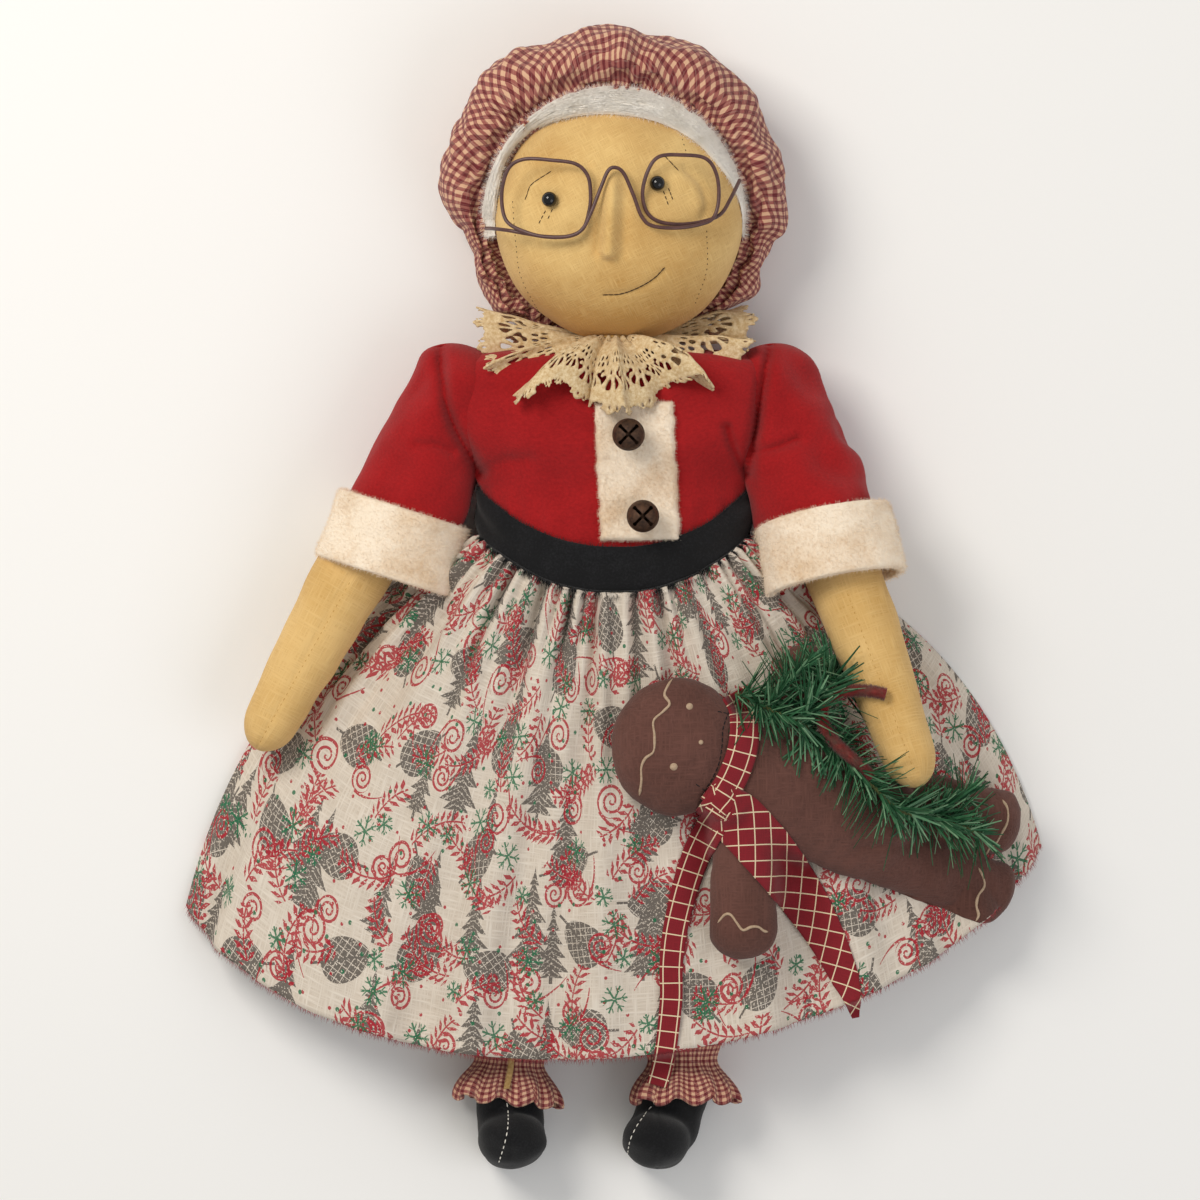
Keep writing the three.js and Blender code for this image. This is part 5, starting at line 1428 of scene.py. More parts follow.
def rimReach(angle):
    reach = np.where(np.sin(angle) > 0, 73.0, mix(73.0, 48.0, -np.sin(angle)))
    return np.minimum(cap["rimRadius"], reach * 0.96)


def rimHeight(angle):
    return headCentre[2] - 4 + 18.0 * np.sin(angle)


capAngle = np.linspace(0, turn, cap["columns"], endpoint=False)
wide, rim, edge = capReach(capAngle), rimHeight(capAngle), rimReach(capAngle)
wide = np.maximum(wide, edge * 1.03)
lift = (1 + np.sin(capAngle)) / 2
onFloor = 0 * rim + 0.9
hoops = [(np.minimum(40, wide * 0.7), rim - 6), (edge * 0.95, rim + 0.5), (edge * 0.962, rim + 3.4),
         (edge * 1.035, rim + 0.6), (mix(edge, wide, 0.3), rim + 1 + 6 * lift),
         (mix(edge, wide, 0.6), rim + 7 * lift), (mix(edge, wide, 0.88), rim - 4), (wide, rim * 0.55),
         (wide * 0.96, rim * 0.2), (wide * 0.84, onFloor), (wide * 0.5, onFloor), (wide * 0, onFloor)]
hoops = np.array([stack(r * np.cos(capAngle), headCentre[1] + r * np.sin(capAngle), z) for r, z in hoops])
capGrid, level = catmull(hoops, 8)
level = level[:, None]
drift = capAngle + 0.06 * np.sin(3 * capAngle + 1) + 0.035 * np.sin(7 * capAngle + 2)
drift = drift + 0.02 * np.sin(13 * capAngle)
drift = drift[None, :] + 0.012 * np.sin(2.2 * level + 5 * capAngle[None, :])
frill = bump(level, 2.0, 1.1) * 1.2 * np.sin(cap["frill"] * drift + 0.7 * np.sin(9 * drift))
pleats = bump(level, 4.0, 1.3) * 1.9 * np.sin(cap["pleats"] * drift + 1.3 * np.sin(5 * drift))
puffs = np.sin(cap["puffs"] * drift) + 0.3 * np.sin(2 * cap["puffs"] * drift + 1)
puffs = bump(level, 6.0, 1.9) * 1.7 * puffs
loose = bump(level, 5.5, 2.6) * (crumple(capGrid, 19.0, 101) * 1.0 + crumple(capGrid, 8.0, 102) * 0.35)
capNormal = normalsOf(wrapped(capGrid))[:, 1:-1]
outward = capGrid - [0, headCentre[1], 24]
capNormal = capNormal * np.sign(np.sum(capNormal * outward, axis=-1, keepdims=True))
capNormal[level[:, 0] < 1.2] = [0, 0, 1]
capGrid = capGrid + capNormal * (frill + pleats + puffs + loose)[..., None]
capGrid[..., 2] = np.maximum(capGrid[..., 2], 0.5)
stretch = np.linalg.norm(np.diff(hoops, axis=0), axis=-1).mean(axis=1)
far = np.interp(level[:, 0], range(len(hoops)), [*np.cumsum(stretch[::-1])[::-1], 0])[:, None]
swirl = crumple(capGrid, 12.0, 103)[..., None] * bump(level, 3.0, 2.2)[..., None] * 0.5
eased = mix(capAngle[None, :], drift, 0.35)
capUv = stack(far * np.cos(eased), far * np.sin(eased)) + swirl
capUv = np.concatenate([capUv, capUv[:, :1]], axis=1)
capPiece = surface("cap_gingham", capGrid, capGingham, capUv, loop=True)
rimRow = int(np.argmin(np.abs(level[:, 0] - 1.6)))
rimLine = capGrid[rimRow]
rimAway = unit((headCentre - rimLine) * [1, 1, 0]) + [0, 0, 0.9]
capFray = fray("cap_fray", rimLine, rimAway, cap["fray"], 1700, 0.17, laceCotton, 33)
settle(capPiece, "head", ["cap"])
settle(capFray, "head")
print("cap is gathered")

hairInner = [(-50, -7), (-49.6, 3.6), (-46.1, 22.7), (-38.6, 33.3), (-28, 39.7), (-13.2, 43.1), (3.8, 43.1),
             (19.7, 39.7), (33.5, 32.3), (43, 22.7), (49.3, 14.3), (53.4, 3.6), (53.8, -7)]
hair = {"count": 260, "across": 26, "puff": 4.2, "deep": 6.0}
inner = smoothLine(hairInner, hair["count"])
bearing = np.arctan2(inner[:, 1], inner[:, 0])
outerReach = rimReach(bearing) * 0.99
outer = np.stack([outerReach * np.cos(bearing), outerReach * np.sin(bearing)], axis=-1)
s = np.linspace(0, 1, hair["across"])[None, :]
plan = inner[:, None] * (1 - s[..., None]) + outer[:, None] * s[..., None]
innerZ = np.array([onFace(x, headCentre[1] + y, 0) for x, y in inner])
innerZ = np.where(innerZ > 20, innerZ, headCentre[2] + 4)
taper = ease(np.minimum(np.arange(hair["count"]), np.arange(hair["count"])[::-1]) / 22)[:, None]
crownZ = mix(innerZ[:, None] + 0.3, rimHeight(bearing)[:, None] + 1.0, s)
pillow = np.sqrt(np.clip(np.sin(np.pi * (0.04 + 0.92 * s)), 0, 1)) * hair["puff"] * taper
topHair = stack(plan[..., 0], headCentre[1] + plan[..., 1], crownZ + pillow)
topHair[..., 2] += crumple(topHair, 9.0, 111) * 0.45 + crumple(topHair, 26.0, 112) * 0.5
underHair = topHair - stack(0 * s, 0 * s, pillow + hair["deep"] * taper)
hairPiece = slab("hair_fleece", topHair, underHair, whiteFleece)
hairNap = fuzz("hair_nap", hairPiece, 190, 2.6, 0.14, 1.3, 17, whiteFleece)
settle(hairPiece, "head", ["hair"])
settle(hairNap, "head")
order = np.random.default_rng(19)
strands = []
for k in range(620):  # long fibres combed along the band
    first = order.integers(2, hair["count"] - 50)
    rows = first + np.linspace(0, order.integers(18, 46), 12).astype(int)
    column = order.uniform(1, hair["across"] - 2) + np.cumsum(order.normal(size=12) * 0.25)
    column = np.clip(column, 0, hair["across"] - 1)
    lifted = np.sin(np.linspace(0, np.pi, 12))[:, None] * order.uniform(0.2, 1.3) * [0, 0, 1]
    strands.append(topHair[rows, column.round().astype(int)] + lifted + [0, 0, 0.15])
hairLines = curveObject("hair_fibres", strands)
hairLines.data.bevel_depth = 0.11 * mm
hairLines.data.bevel_resolution = 0
hairLines.data.materials.append(whiteFleece)
settle(meshFrom("hair_fibres", hairLines), "head")

wireRadius = 0.8
route = [
    (-53.5, -4, -17), (-50.5, -4.5, -5), (-44, -5.5, 0), (-36, -7, 0), (-28, -8.2, 0), (-19, -8, 0),
    (-13, -5, 0), (-10.5, 2, 0), (-9.8, 9, 0), (-11, 17, 0), (-16, 22, 0), (-26, 23.6, 0),
    (-37, 24.2, 0), (-43.5, 21, 0), (-46.5, 13, 0), (-46.6, 4, 0), (-44, -2.5, 0.7),
    (-36, -6.6, 2.4), (-28, -8.4, 2.6), (-19, -8.2, 2.6), (-13.4, -5.4, 2.5), (-9.5, 2, 2.2),
    (-5.6, 12, 0.8), (-2.6, 19, 0), (0.4, 20.5, 0), (4, 18, 0), (8, 9, 0.6), (11.5, 0, 1),
    (16, -3.8, 1), (26, -4.6, 1), (36, -3, 0.6), (41.5, 0, 0.2), (43.6, 8, 0), (42.6, 18, 0),
    (38, 24.5, 0), (28, 25.8, 0), (18.6, 25, 0), (14, 19, 0), (11.8, 10, -0.6), (13.6, 2, -1.4),
    (19, -2, -1.5), (28, -3, -1.5), (38, -1.5, -1.6), (44.5, 1.5, -1.8), (48.6, 8, -3.5), (52.5, 16, -12),
]
wire = smoothLine([(x, headCentre[1] + up, 84 + 1.3 - 0.0036 * x * x + over) for x, up, over in route], 560)
wirePiece = tube("spectacles_wire", wire, wireRadius, wireCoat, 14)
settle(wirePiece, "head", ["glasses"])
print("spectacles are bent")

lace = {"columns": 980, "rows": 46, "wide": 29.0, "length": 520.0, "thick": 0.75, "folds": 9, "scallop": 11.6}
neckSeat = 12.0
laceOutline = {  # the ruffle's outer edge, by angle from the doll's left
    "angles": [0, 22, 40, 60, 78, 100, 120, 138, 158, 180, 202, 226, 270, 314, 338],
    "x": [58, 54, 45, 32, 14, -12, -23, -40, -52, -57, -60, -46, 0, 46, 62],
    "y": [106, 87, 86, 93, 78, 77.5, 93, 79, 88, 105, 118, 112, 106, 113, 121],
}


def lacePattern(u, v):  # true where there is thread; u runs along the edging and v across it, in millimetres
    def row(at, period, radius, shift=0.0):
        near = (u / period + shift) % 1 - 0.5
        return np.hypot(near * period, v - at) < radius
    holes = row(2.6, 2.9, 0.75) | row(27.0, 2.9, 0.62, 0.5)
    block = np.cos(u * turn / (2 * lace["scallop"]))
    lattice = np.zeros_like(holes)
    for k, at in enumerate(np.arange(6.2, 15.0, 2.35)):
        lattice |= row(at, 3.3, 1.02, 0.5 * (k % 2))
    holes |= lattice & (np.abs(block) > 0.36)
    centre = (u / lace["scallop"]) % 1 - 0.5
    x, y = centre * lace["scallop"], v - 16.0
    ray = np.arctan2(y, x)
    distance = np.hypot(x, y)
    petals = (np.abs(distance - 5.1) < 1.7) & (np.cos(ray * 9) > -0.25) & (y > -0.6)
    holes |= petals | (np.hypot(x, y - 1.2) < 0.95)
    holes &= (v > 9.5) | (v < 4)
    edge = lace["wide"] - 2.6 * (1 - np.abs(np.cos(np.pi * centre))) - 0.7 * (np.cos(u * turn / 2.9) < -0.1)
    return ~holes & (v < edge)


laceAngle = np.linspace(0, turn, lace["columns"], endpoint=False)
t = np.linspace(0, 1, lace["rows"])[:, None]
c, s = np.cos(laceAngle)[None, :], np.sin(laceAngle)[None, :]
front, back = np.maximum(0, s), np.maximum(0, -s)
innerRing = stack(neckSeat * c, 110.0, neckZ + neckSeat * s)
ruffle = []
soften = np.hanning(61) / np.hanning(61).sum()
for way in ("x", "y"):
    reach = np.interp(np.degrees(laceAngle), laceOutline["angles"], laceOutline[way], period=360)
    ruffle.append(np.convolve(np.tile(reach, 3), soften, "same")[lace["columns"]:2 * lace["columns"]])
outerRing = stack(ruffle[0][None, :], ruffle[1][None, :], neckZ + 26.0 * s - 8 * back)
mid = (innerRing + outerRing) / 2 + stack(0 * s, 3.5 * front, 7.0 * front)
control = 2 * mid - (innerRing + outerRing) / 2
laceGrid = (1 - t)[..., None] ** 2 * innerRing + (2 * t * (1 - t))[..., None] * control
laceGrid = laceGrid + (t ** 2)[..., None] * outerRing
wander = laceAngle + 0.10 * np.sin(4 * laceAngle + 0.8) + 0.05 * np.sin(7 * laceAngle)
phase = lace["folds"] * wander[None, :] + 0.5 * t
fold = np.sin(phase) * (7.4 - 4.4 * back) * t ** 0.8
ripple = np.sin(3.05 * phase + 1.1) * 1.25 * t + np.sin(26 * laceAngle[None, :]) * 0.8 * (1 - t)
laceNormal = normalsOf(wrapped(laceGrid))[:, 1:-1]
laceNormal = laceNormal * np.sign(np.sum(laceNormal * [0, 0.3, 1.0] + 1e-6, axis=-1, keepdims=True))
laceNormal = unit(laceNormal + stack(0 * s, 0.25 * (1 - front), 0.3 + 0 * s))
sway = unit(np.gradient(wrapped(laceGrid), axis=1)[:, 1:-1]) * (np.sin(2 * phase + 0.4) * 1.9 * t)[..., None]
laceGrid = laceGrid + laceNormal * (fold + ripple)[..., None] + sway
laceGrid = laceGrid + crumple(laceGrid, 13.0, 121)[..., None] * 0.5 * t[..., None]
laceU, laceV = np.broadcast_arrays(laceAngle[None, :] / turn * lace["length"], t * lace["wide"])
half = (lace["wide"] / lace["rows"] / 2, lace["length"] / lace["columns"] / 2)
kept = lacePattern(laceU + half[1], laceV + half[0])
lacePiece = surface("collar_lace_edging", laceGrid, laceCotton, loop=True, keep=kept)


def roundHoles(piece, passes, share):  # the cut cells' corners drawn towards their neighbours along the cut
    shape = bmesh.new()
    shape.from_mesh(piece.data)
    for _ in range(passes):
        moved = {}
        for vertex in shape.verts:
            cuts = [e.other_vert(vertex) for e in vertex.link_edges if e.is_boundary]
            if len(cuts) >= 2:
                middle = sum((v.co for v in cuts), Vector()) / len(cuts)
                moved[vertex] = vertex.co.lerp(middle, share)
        for vertex, place in moved.items():
            vertex.co = place
    shape.to_mesh(piece.data)
    shape.free()


roundHoles(lacePiece, 2, 0.6)
walled(lacePiece, lace["thick"])
settle(lacePiece, "root", ["collar_lace"])
edgeLength(laceGrid[-1]) * mm
print("lace is gathered")

bell = {"radius": 6.5, "wall": 0.7, "slit": 1.15, "loop": 1.5, "wire": 0.5, "seam": 0.3, "hole": 1.0}
bellSpots = {"upper": (6.0, 69.0, 67.6), "lower": (12.0, 35.0, 62.8)}


def primitive(name, make, material):
    shape = bmesh.new()
    make(shape)
    return fromShape(name, shape, [material])


def without(piece, tool):  # the piece with the tool's form cut out of it
    cutter = piece.modifiers.new("cut", "BOOLEAN")
    cutter.operation = "DIFFERENCE"
    cutter.solver = "EXACT"
    cutter.object = tool
    plain(piece)
    dropped(tool)
    return piece


def turned(x, y, angle):
    return x * math.cos(angle) - y * math.sin(angle), x * math.sin(angle) + y * math.cos(angle)


for name, pivot in bellSpots.items():
    pivot = np.array(pivot)
    centre = pivot + [0, 0, bell["radius"] + bell["loop"] - bell["wire"]]
    shell = ballOf(f"bell_{name}_shell", centre, bell["radius"], rust, 5)
    inside = ballOf(f"bell_{name}_inside", centre, bell["radius"] - bell["wall"], rust, 4)
    shell = without(shell, inside)
    for k, angle in enumerate((math.radians(45), math.radians(135))):
        def slitForm(shape, angle=angle):
            high = (centre[2] + 1.0, centre[2] + 9.0)
            outline = []
            for end in (1, -1):
                for step in np.linspace(-1.1, 1.1, 9):
                    x = end * (4.7 + bell["hole"] * math.cos(step) * 0.9)
                    y = end * bell["hole"] * math.sin(step)
                    outline.append(turned(x, y, angle))
                outline.append(turned(end * 4.1, end * bell["slit"] / 2, angle))
                outline.append(turned(-end * 4.1, end * bell["slit"] / 2, angle))
            rings = []
            for z in high:
                spots = [np.array([centre[0] + x, centre[1] + y, z]) * mm for x, y in outline]
                rings.append([shape.verts.new(Vector(spot)) for spot in spots])
            shape.faces.new(rings[0][::-1])
            shape.faces.new(rings[1])
            for i in range(len(outline)):
                j = (i + 1) % len(outline)
                shape.faces.new([rings[0][i], rings[0][j], rings[1][j], rings[1][i]])
            bmesh.ops.recalc_face_normals(shape, faces=shape.faces)
        shell = without(shell, primitive(f"slit_{k}", slitForm, rust))
    a = np.linspace(0, turn, 73)[:, None]
    seamRing = centre + bell["radius"] * (np.cos(a) * [1, 0, 0] + np.sin(a) * [0, 1, 0]) + [0, 0, 0.3]
    seam = tube(f"bell_{name}_seam", seamRing, bell["seam"], rust, 8)
    loopRing = pivot + bell["loop"] * (np.cos(a) * [0, 1, 0] + np.sin(a) * [0, 0, 1])
    loop = tube(f"bell_{name}_loop", loopRing, bell["wire"], rust, 8)
    whole = joined(f"bell_{name}_tin", [shell, seam, loop])
    settle(whole, f"bell_{name}", [f"bell_{name}"])
    pea = centre - [0, 0, bell["radius"] - bell["wall"] - 1.82 - 0.35]
    settle(ballOf(f"bell_{name}_pea", pea, 1.82, rust, 4), f"bell_{name}", [f"bell_pea_{name}"])
print("bells are cut")


# gingerbread man lying on the skirt: six stuffed forms sewn as one cloth skin
ginger = {"deep": 11.0, "voxel": 1.15, "swell": 1.2}


def coarseSkirt(x, up, lift):  # on the skirt's middle height near a place, so one fold tilts no form
    y = waistY + up
    around9 = [faceSkirt(x + i, y + j, 1.5) for i in (-9, 0, 9) for j in (-9, 0, 9)]
    return np.array([x, y, float(np.median(around9)) + lift])


deep = ginger["deep"]
gingerForms = {
    "head": {"from": coarseSkirt(0.5, -68, deep), "to": coarseSkirt(50.5, -88, deep), "wide": (28.5, 28.5),
             "deep": (13, 13), "round": (25, 25)},
    "body": {"from": coarseSkirt(32, -80, deep), "to": coarseSkirt(124, -118, deep), "wide": (20.5, 22.5),
             "deep": (11.5, 11.5), "round": (14, 14), "swell": 0.14},
    "legLower": {"from": coarseSkirt(94, -116, deep - 1), "to": coarseSkirt(166, -143, deep - 1),
                 "wide": (14.5, 13.5), "deep": (10, 9.5), "round": (9, 7), "power": 2.3},
    "legUpper": {"from": coarseSkirt(104, -96, deep - 1), "to": coarseSkirt(171, -113, deep - 1),
                 "wide": (13, 14), "deep": (9, 9), "round": (9, 10)},
    "armLower": {"from": coarseSkirt(53, -96, deep - 1), "to": coarseSkirt(54, -167, deep - 1),
                 "wide": (12, 14.5), "deep": (9.5, 9.5), "round": (9, 13)},
    "armUpper": {"from": coarseSkirt(62, -80, deep - 1), "to": coarseSkirt(86, -38, deep - 1),
                 "wide": (12.5, 12.5), "deep": (9, 9), "round": (9, 11)},
}
gingerParts = []
for name, form in gingerForms.items():
    grid, _ = stuffedGrid(form, 44, 40)
    gingerParts.append(surface("ginger_" + name, grid, brownCotton, loop=True))
gingerPiece = fused("ginger_cloth", gingerParts, ginger["voxel"], 5, brownCotton)


def puffed(piece, pressure, frames, most):  # cloth pressed out by its stuffing, by a distance at most
    before = np.array([v.co for v in piece.data.vertices])
    cloth = piece.modifiers.new("stuffing", "CLOTH")
    cloth.settings.quality = 5
    cloth.settings.use_pressure = True
    cloth.settings.uniform_pressure_force = pressure
    cloth.settings.effector_weights.gravity = 0
    cloth.settings.tension_stiffness = 20
    cloth.settings.bending_stiffness = 0.3
    cloth.point_cache.frame_start = 1
    cloth.point_cache.frame_end = frames
    for frameNumber in range(1, frames + 1):
        scene.frame_set(frameNumber)
    made = worked(piece)
    piece.modifiers.clear()
    scene.frame_set(1)
    after = np.array([v.co for v in made.vertices])
    move = after - before
    far = np.linalg.norm(move, axis=1, keepdims=True)
    move = move * np.minimum(1, most * mm / np.maximum(far, 1e-9))
    piece.data.vertices.foreach_set("co", (before + move).ravel())
    piece.data.update()
    bpy.data.meshes.remove(made)
    return piece


puffed(gingerPiece, 3.5, 14, ginger["swell"])


def gingerRelief(points):  # pucker along the side seam, and a crease where each limb leaves the body
    x, y = points[:, 0], points[:, 1]
    creases = [([(98, -98 + 17), (113, -91 + 17)], 1.6, 1.0), ([(104, -104), (128, -103)], 1.9, 1.2),
               ([(50, -88), (66, -96)], 2.6, 0.7)]
    rise = crumple(points, 26.0, 131) * 0.55 + crumple(points, 9.0, 132) * 0.16
    for line, width, depth in creases:
        rise = rise - depth * np.exp(-(awayFrom(x, y, smoothLine(line, 12)) / width) ** 2)
    return rise


pushOut(gingerPiece, gingerRelief)
underSkirt = np.array([faceSkirt(v.co.x / mm, v.co.y / mm, 1.0) for v in gingerPiece.data.vertices]) + 0.35
for vertex, low in zip(gingerPiece.data.vertices, underSkirt):
    vertex.co.z = max(vertex.co.z, low * mm)
settle(gingerPiece, "arm_left", [
    "ginger_head", "ginger_body", "ginger_leg_lower", "ginger_leg_upper",
    "ginger_arm_lower", "ginger_arm_upper"])
onGinger = heightOn(gingerPiece)


def piped(name, lines, width, material, height):  # a bead of paint along lines given in pixels
    parts = []
    for k, points in enumerate(lines):
        line = photoLine(points, 90, height, 0.0)
        order = crumple(line, 7.0, 140 + k) * 0.18 + 1
        step = np.arange(len(line))
        ends = np.minimum(1, np.minimum(step, step[::-1]) / 5 + 0.35)
        parts.append(tube(f"{name}{k}", line, width / 2 * order * ends, material, 8))
    return joined(name, parts)


icingLines = [
    [(673, 677), (668, 684), (664, 694), (669, 703), (662, 711), (653, 720), (654, 735), (653, 750),
     (645, 757), (641, 766), (641, 780), (639, 794)],
    [(717, 921), (724, 913), (730, 913), (736, 921), (742, 928), (750, 925), (757, 925), (763, 929),
     (767, 930)],
    [(979, 868), (984, 878), (985, 887), (979, 896), (977, 906), (979, 916), (974, 924), (966, 927)],
    [(1003, 800), (1008, 809), (1008, 822), (1002, 834), (997, 843), (990, 849), (987, 856)],
]
icingPiece = piped("ginger_icing", icingLines, 1.1, icing, onGinger)
dots = []
for k, (px, py, size) in enumerate(((688.5, 706, 1.75), (700, 741, 1.15), (673, 765, 1.95))):
    x, y = onPhoto(px, py)
    dots.append(ballOf(f"dot{k}", (x, y, onGinger(x, y) - size * 0.55), size, icing, 3))
icingPiece = joined("ginger_icing", [icingPiece, *dots])
settle(icingPiece, "arm_left")
gingerSmile = []
for points, count in (([(727, 713), (722, 728), (721, 745), (718, 762), (712, 776), (704, 789)], 60),
                      ([(697, 784), (709, 793)], 12), ([(719, 711), (733, 714)], 12)):
    gingerSmile.append(photoLine(points, count, onGinger, 0.1))
settle(sewn("ginger_smile", gingerSmile, 2.4, 2.2, 0.45, blackCloth), "arm_left")
print("gingerbread man is sewn")

scarf = {
    "thick": 0.7, "lift": 0.5, "narrow": 12.5, "broad": 23.0, "steps": 150, "bandSteps": 90, "columns": 15,
}


def ribbonGrid(middle, widths):
    tangent = unit(np.gradient(middle, axis=0))
    side = unit(np.cross(tangent, [0, 0, 1.0]))
    across = np.linspace(-0.5, 0.5, scarf["columns"])
    grid = middle[:, None] + side[:, None] * (across[None, :] * widths[:, None])[..., None]
    run = runAlong(middle)
    uv = stack(across[None, :] * widths[:, None], run[:, None])
    return grid, uv


knotX, knotY = onPhoto(722, 800)
knotZ = onGinger(knotX, knotY, 60) + 2.0
knotForm = {"from": (knotX - 7, knotY + 5, knotZ), "to": (knotX + 7, knotY - 6, knotZ),
            "wide": (6.5, 6.5), "deep": (2.6, 2.6), "round": (6, 6)}


def knotFolds(grid, angle, share):
    grid[..., 2] += 0.7 * np.sin(3 * angle + 5 * share) + crumple(grid, 6.0, 153) * 0.4
    return grid


knotGrid, knotUv = stuffedGrid(knotForm, 48, 40, knotFolds)
knotPiece = surface("scarf_knot_ribbon", knotGrid, plaid, knotUv, loop=True)
settle(knotPiece, "arm_left", ["scarf_knot"])
onKnot = heightOn(knotPiece)


def overCloth(x, y):  # the highest of the skirt, the gingerbread man, the knot and the frill at a place
    found = max(faceSkirt(x, y, 0.0), onGinger(x, y, 0.0), onKnot(x, y, 0.0))
    return found if found > 1.0 else 34.5


def laidRibbon(points, widths, wave, seed):
    count = scarf["steps"]
    flat = flatLine(points, count)
    wide = np.interp(np.linspace(0, 1, count), np.linspace(0, 1, len(widths)), widths)
    middle = np.column_stack([flat, np.zeros(count)])
    grid, uv = ribbonGrid(middle, wide)
    height = bridged(np.vectorize(overCloth)(grid[..., 0], grid[..., 1]), 5)
    grid[..., 2] = height + scarf["lift"] + scarf["thick"] / 2
    buckle = crumple(grid, 24.0, seed) * wave
    grid[..., 2] += np.maximum(0, buckle)
    return grid, uv


def declareRibbon(grid, wide):
    edgeLength(grid[:, grid.shape[1] // 2]) * mm
    min(gridArea(grid), wide * edgeLength(grid[:, grid.shape[1] // 2])) * mm * mm


longLine = [(722, 806), (709, 828), (697, 852), (687, 880), (680, 906), (674, 935), (671, 965), (671, 995),
            (669, 1020), (666, 1045), (662, 1068), (657, 1086)]
wideLine = [(706, 794), (731, 812), (756, 838), (781, 868), (803, 899), (822, 930), (838, 962), (850, 992),
            (856, 1018)]
longGrid, longUv = laidRibbon(longLine, [scarf["narrow"], 12.0, 10.5, 9.8, 9.2, 8.6], 0.8, 151)
wideWidths = [16.0, scarf["broad"], scarf["broad"], 21.0, 18.5, 15.0, 11.5, 3.0]
wideGrid, wideUv = laidRibbon(wideLine, wideWidths, 1.4, 152)
longPiece = surface("scarf_tail_long_ribbon", longGrid, plaid, longUv, thick=scarf["thick"])
turnUv = np.array([[0.77, 0.64], [-0.64, 0.77]])  # this tail is cut across the lines
widePiece = surface("scarf_tail_wide_ribbon", wideGrid, plaid, wideUv @ turnUv, thick=scarf["thick"])
settle(longPiece, "arm_left", ["scarf_tail_long"])
settle(widePiece, "arm_left", ["scarf_tail_wide"])
declareRibbon(longGrid, scarf["narrow"])
declareRibbon(wideGrid, scarf["broad"])

bandLine = [(735, 691), (742, 704), (744, 722), (742, 745), (735, 768), (724, 790), (712, 806)]
bandFlat = flatLine(bandLine, scarf["bandSteps"])
bandMiddle = np.column_stack([bandFlat, [overCloth(x, y) + 1.0 for x, y in bandFlat]])
bandGrid, bandUv = ribbonGrid(bandMiddle, np.full(scarf["bandSteps"], scarf["narrow"]))
bandHeight = bridged(np.vectorize(overCloth)(bandGrid[..., 0], bandGrid[..., 1]), 4)
bandGrid[..., 2] = bandHeight + 0.8 + 0.7 * np.sin(np.linspace(0, np.pi, scarf["columns"]))[None, :]
bandPiece = surface("scarf_band_ribbon", bandGrid, plaid, bandUv, thick=0.8)
settle(bandPiece, "arm_left", ["scarf_band"])
declareRibbon(bandGrid, scarf["narrow"])
print("scarf is tied")


# pine garland: a twisted wire with cut film needles set by nodes all along it
garland = {"step": 0.6, "width": 0.85, "strand": 0.5, "points": 80}


def needleTree():
    tree, given = startTree("pineNeedles", Step="Float", Length="Float", Width="Float", Seed="Int")
    links = {"Curve": given["Geometry"], "Length": given["Step"]}
    spaced = addNode(tree, "GeometryNodeCurveToPoints", {"mode": "LENGTH"}, links)
    form = {"Vertices": 4, "Side Segments": 3, "Radius Top": 0.35, "Radius Bottom": 0.8, "Depth": 1.0}
    blade = addNode(tree, "GeometryNodeMeshCone", {"fill_type": "NONE"}, form).outputs["Mesh"]
    flat = addNode(tree, "GeometryNodeTransform", {}, {"Geometry": blade, "Scale": (1.0, 0.5, 1.0)})
    count = addNode(tree, "GeometryNodeInputIndex").outputs[0]

    def drawn(least, most, seed):
        limits = {"Min": least, "Max": most, "Seed": seed}
        return addNode(tree, "FunctionNodeRandomValue", {"data_type": "FLOAT"}, limits).outputs[1]

    chance = drawn(0.0, 1.0, given["Seed"])
    leanOut = formula(tree, "0.9 + (c - 0.5) * 1.1", c=chance)
    spin = formula(tree, "i * 2.39996 + r * 1.6", i=count, r=drawn(-1.0, 1.0, 7))
    tilt = addNode(tree, "ShaderNodeCombineXYZ", {}, {0: leanOut, 1: 0.0, 2: spin})
    euler = addNode(tree, "FunctionNodeEulerToRotation", {}, {0: tilt.outputs[0]})
    whole = addNode(tree, "FunctionNodeRotateRotation", {"rotation_space": "LOCAL"},
                    {"Rotation": spaced.outputs["Rotation"], "Rotate By": euler.outputs[0]})
    here = addNode(tree, "GeometryNodeInputPosition").outputs[0]
    clump = addNode(tree, "ShaderNodeTexNoise", {}, {"Vector": here, "Scale": 75.0, "Detail": 1.0}).outputs[0]
    reach = formula(tree, "n * (0.5 + 0.5 * c) * (0.45 + 1.15 * m)", n=given["Length"], c=chance, m=clump)
    sizes = given["Width"], given["Width"], reach
    return finishTree(tree, given, spaced, flat.outputs[0], whole.outputs[0], sizes)


needles = needleTree()


def combed(piece):  # needles pushed up by what lies below
    mesh = piece.data
    for vertex in mesh.vertices:
        x, y = vertex.co.x / mm, vertex.co.y / mm
        floor = max(faceSkirt(x, y, 0.5), onGinger(x, y, 0.5)) + 0.4
        z = vertex.co.z / mm
        if z < floor + 4:
            z = floor + 4 * math.exp(min(0.0, (z - floor - 4) / 9.0))
        vertex.co.z = z * mm
    mesh.update()


armHeight = heightOn(bpy.data.objects["arm_left_muslin"])


def coarseHeight(x, y):
    return max(faceSkirt(x, y, 0), onGinger(x, y, 0))


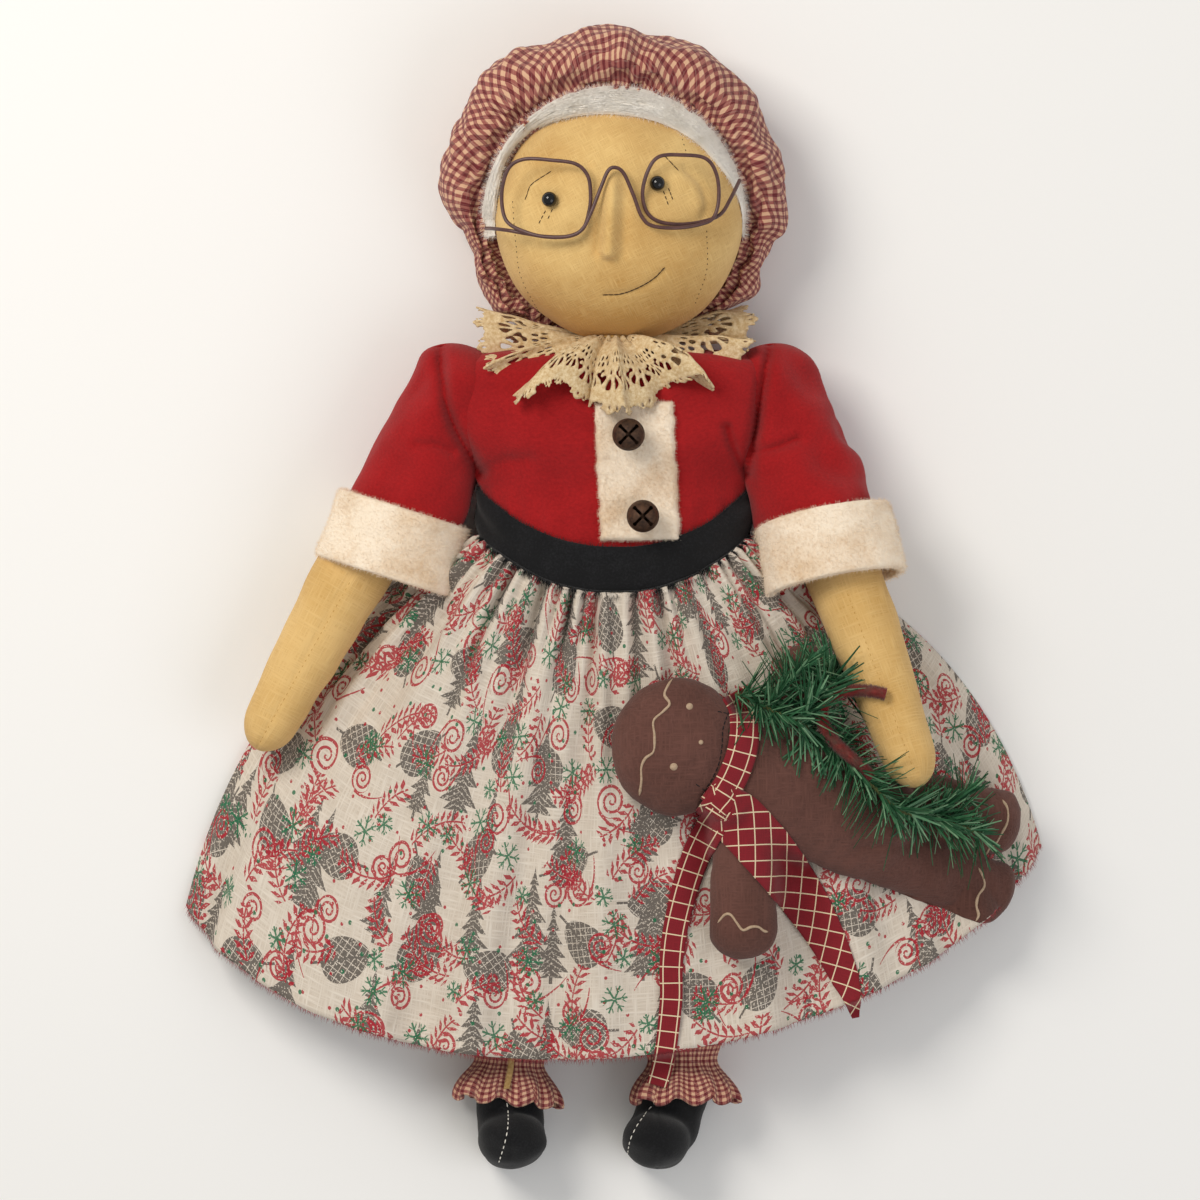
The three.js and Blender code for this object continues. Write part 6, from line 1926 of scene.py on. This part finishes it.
stemPoints = [(735, 694), (752, 700), (775, 712), (800, 722), (826, 742), (850, 764), (872, 786), (893, 806),
              (920, 816), (950, 822), (981, 834)]
stemFlat = flatLine(stemPoints, 3 * garland["points"])
stemLine = relaxed(np.array([(x, y, coarseHeight(x, y) + 6.0) for x, y in stemFlat]), 60)
stemLine[:, 2] += 1.5
branches = [[photoLine([(768, 704), (786, 684), (806, 662)], 30, coarseHeight, 9.0),
             photoLine([(800, 716), (818, 696), (834, 676)], 30, coarseHeight, 9.0)], [],
            [photoLine([(930, 816), (950, 803), (968, 796)], 24, coarseHeight, 8.0)]]
films = [(needleFilm, 3, 22.0), (paleNeedle, 8, 19.0), (deepNeedle, 14, 24.0)]  # with seed and length
for k in range(3):
    part = stemLine[k * garland["points"]:(k + 1) * garland["points"] + 1]
    shades = []
    for m, (film, seed, length) in enumerate(films):
        source = curveObject(f"sprig_line_{k}_{m}", [part, *branches[k]])
        modifier = source.modifiers.new("needles", "NODES")
        modifier.node_group = needles
        sizes = {"Step": garland["step"] * mm, "Length": length * mm, "Width": garland["width"] * mm}
        setInputs(modifier, {**sizes, "Seed": seed + k, "Material": film})
        shades.append(meshFrom(f"sprig_{k}_{m}", source))
    whole = joined(f"sprig_{k + 1}_needles", shades)
    combed(whole)
    strands = []
    twist = np.linspace(0, len(part) / garland["points"] * turn * 9, len(part))
    for phase in (0, np.pi):
        wind = np.stack([0 * twist, np.cos(twist + phase), np.sin(twist + phase)], axis=-1) * 0.55
        strands.append(tube(f"strand_{k}_{phase:.0f}", part + wind, garland["strand"], stemWire, 6))
    whole = joined(f"sprig_{k + 1}_garland", [whole, *strands])
    settle(whole, "arm_left", [f"sprig_{k + 1}"])
print("garland is wound")

chenille = {"steps": 160, "core": 2.0, "tufts": 12000, "thread": 0.3}
chenilleFlat = flatLine([(884, 694), (872, 691), (852, 690), (834, 694), (824, 702), (820, 716), (826, 732),
                         (840, 748), (856, 762), (870, 776)], chenille["steps"])
chenilleZ = [58, 66, 66, 66, 68, 70, 66]
chenilleZ = np.interp(np.linspace(0, 1, chenille["steps"]), np.linspace(0, 1, len(chenilleZ)), chenilleZ)
chenilleLow = np.array([coarseHeight(x, y) for x, y in chenilleFlat]) + 9.0
chenilleArm = np.array([armHeight(x, y, 0) for x, y in chenilleFlat]) + 3.0
chenilleTop = np.maximum(np.maximum(chenilleZ, chenilleLow), chenilleArm)
chenilleLine = relaxed(np.column_stack([chenilleFlat, chenilleTop]), 30)
core = tube("chenille_core", chenilleLine, chenille["core"], chenillePile, 10)
order = np.random.default_rng(61)
tufts = chenille["tufts"]
place = order.uniform(0, 158.99, tufts)  # along the line's pieces
low = place.astype(int)
step = chenilleLine[low + 1] - chenilleLine[low]
spot = chenilleLine[low] + step * (place - low)[:, None]
away = unit(np.cross(unit(step), order.normal(size=(tufts, 3))))
tips = spot + away * order.uniform(2.5, 3.5, tufts)[:, None]
pile = hairs("chenille_tufts", spot + away * 0.8, tips, chenille["thread"], chenillePile)
settle(joined("chenille_pile", [core, pile]), "arm_left", ["chenille_stem"])
print("chenille is bent")

floorMaterial, _, floorShader = startMaterial("pale paper floor")
floorShader.inputs["Base Color"].default_value = linear("#f3f2f0")
floorShader.inputs["Roughness"].default_value = 0.9
floorCorners = [(-1500, -1500, -0.6), (1500, -1500, -0.6), (1500, 1500, -0.6), (-1500, 1500, -0.6)]
floorPiece = meshObject("floor", floorCorners, [(0, 1, 2, 3)], floorMaterial)
world = bpy.data.worlds.new("room")
scene.world = world
world.use_nodes = True
world.node_tree.nodes["Background"].inputs[0].default_value = linear("#f2f1ee")
world.node_tree.nodes["Background"].inputs[1].default_value = 0.55


def softLight(name, place, aim, size, power, colour):
    data = bpy.data.lights.new(name, "AREA")
    data.size = size
    data.energy = power
    data.color = linear(colour)[:3]
    lamp = inScene(name, data)
    lamp.location = place
    lamp.rotation_euler = (Vector(aim) - Vector(place)).to_track_quat("-Z", "Y").to_euler()


softLight("window", (-0.75, 0.75, 1.25), (0, 0, 0), 0.7, 15.0, "#fffaf2")
softLight("fill", (0.9, -0.5, 1.2), (0, 0, 0), 1.0, 5.0, "#f4f7ff")

lens = bpy.data.cameras.new("camera")
lens.sensor_width = 36
lens.lens = 354.3
camera = bpy.data.objects.new("camera", lens)
camera.location = (-0.0059, 0.0, 5.0)
scene.collection.objects.link(camera)
scene.camera = camera
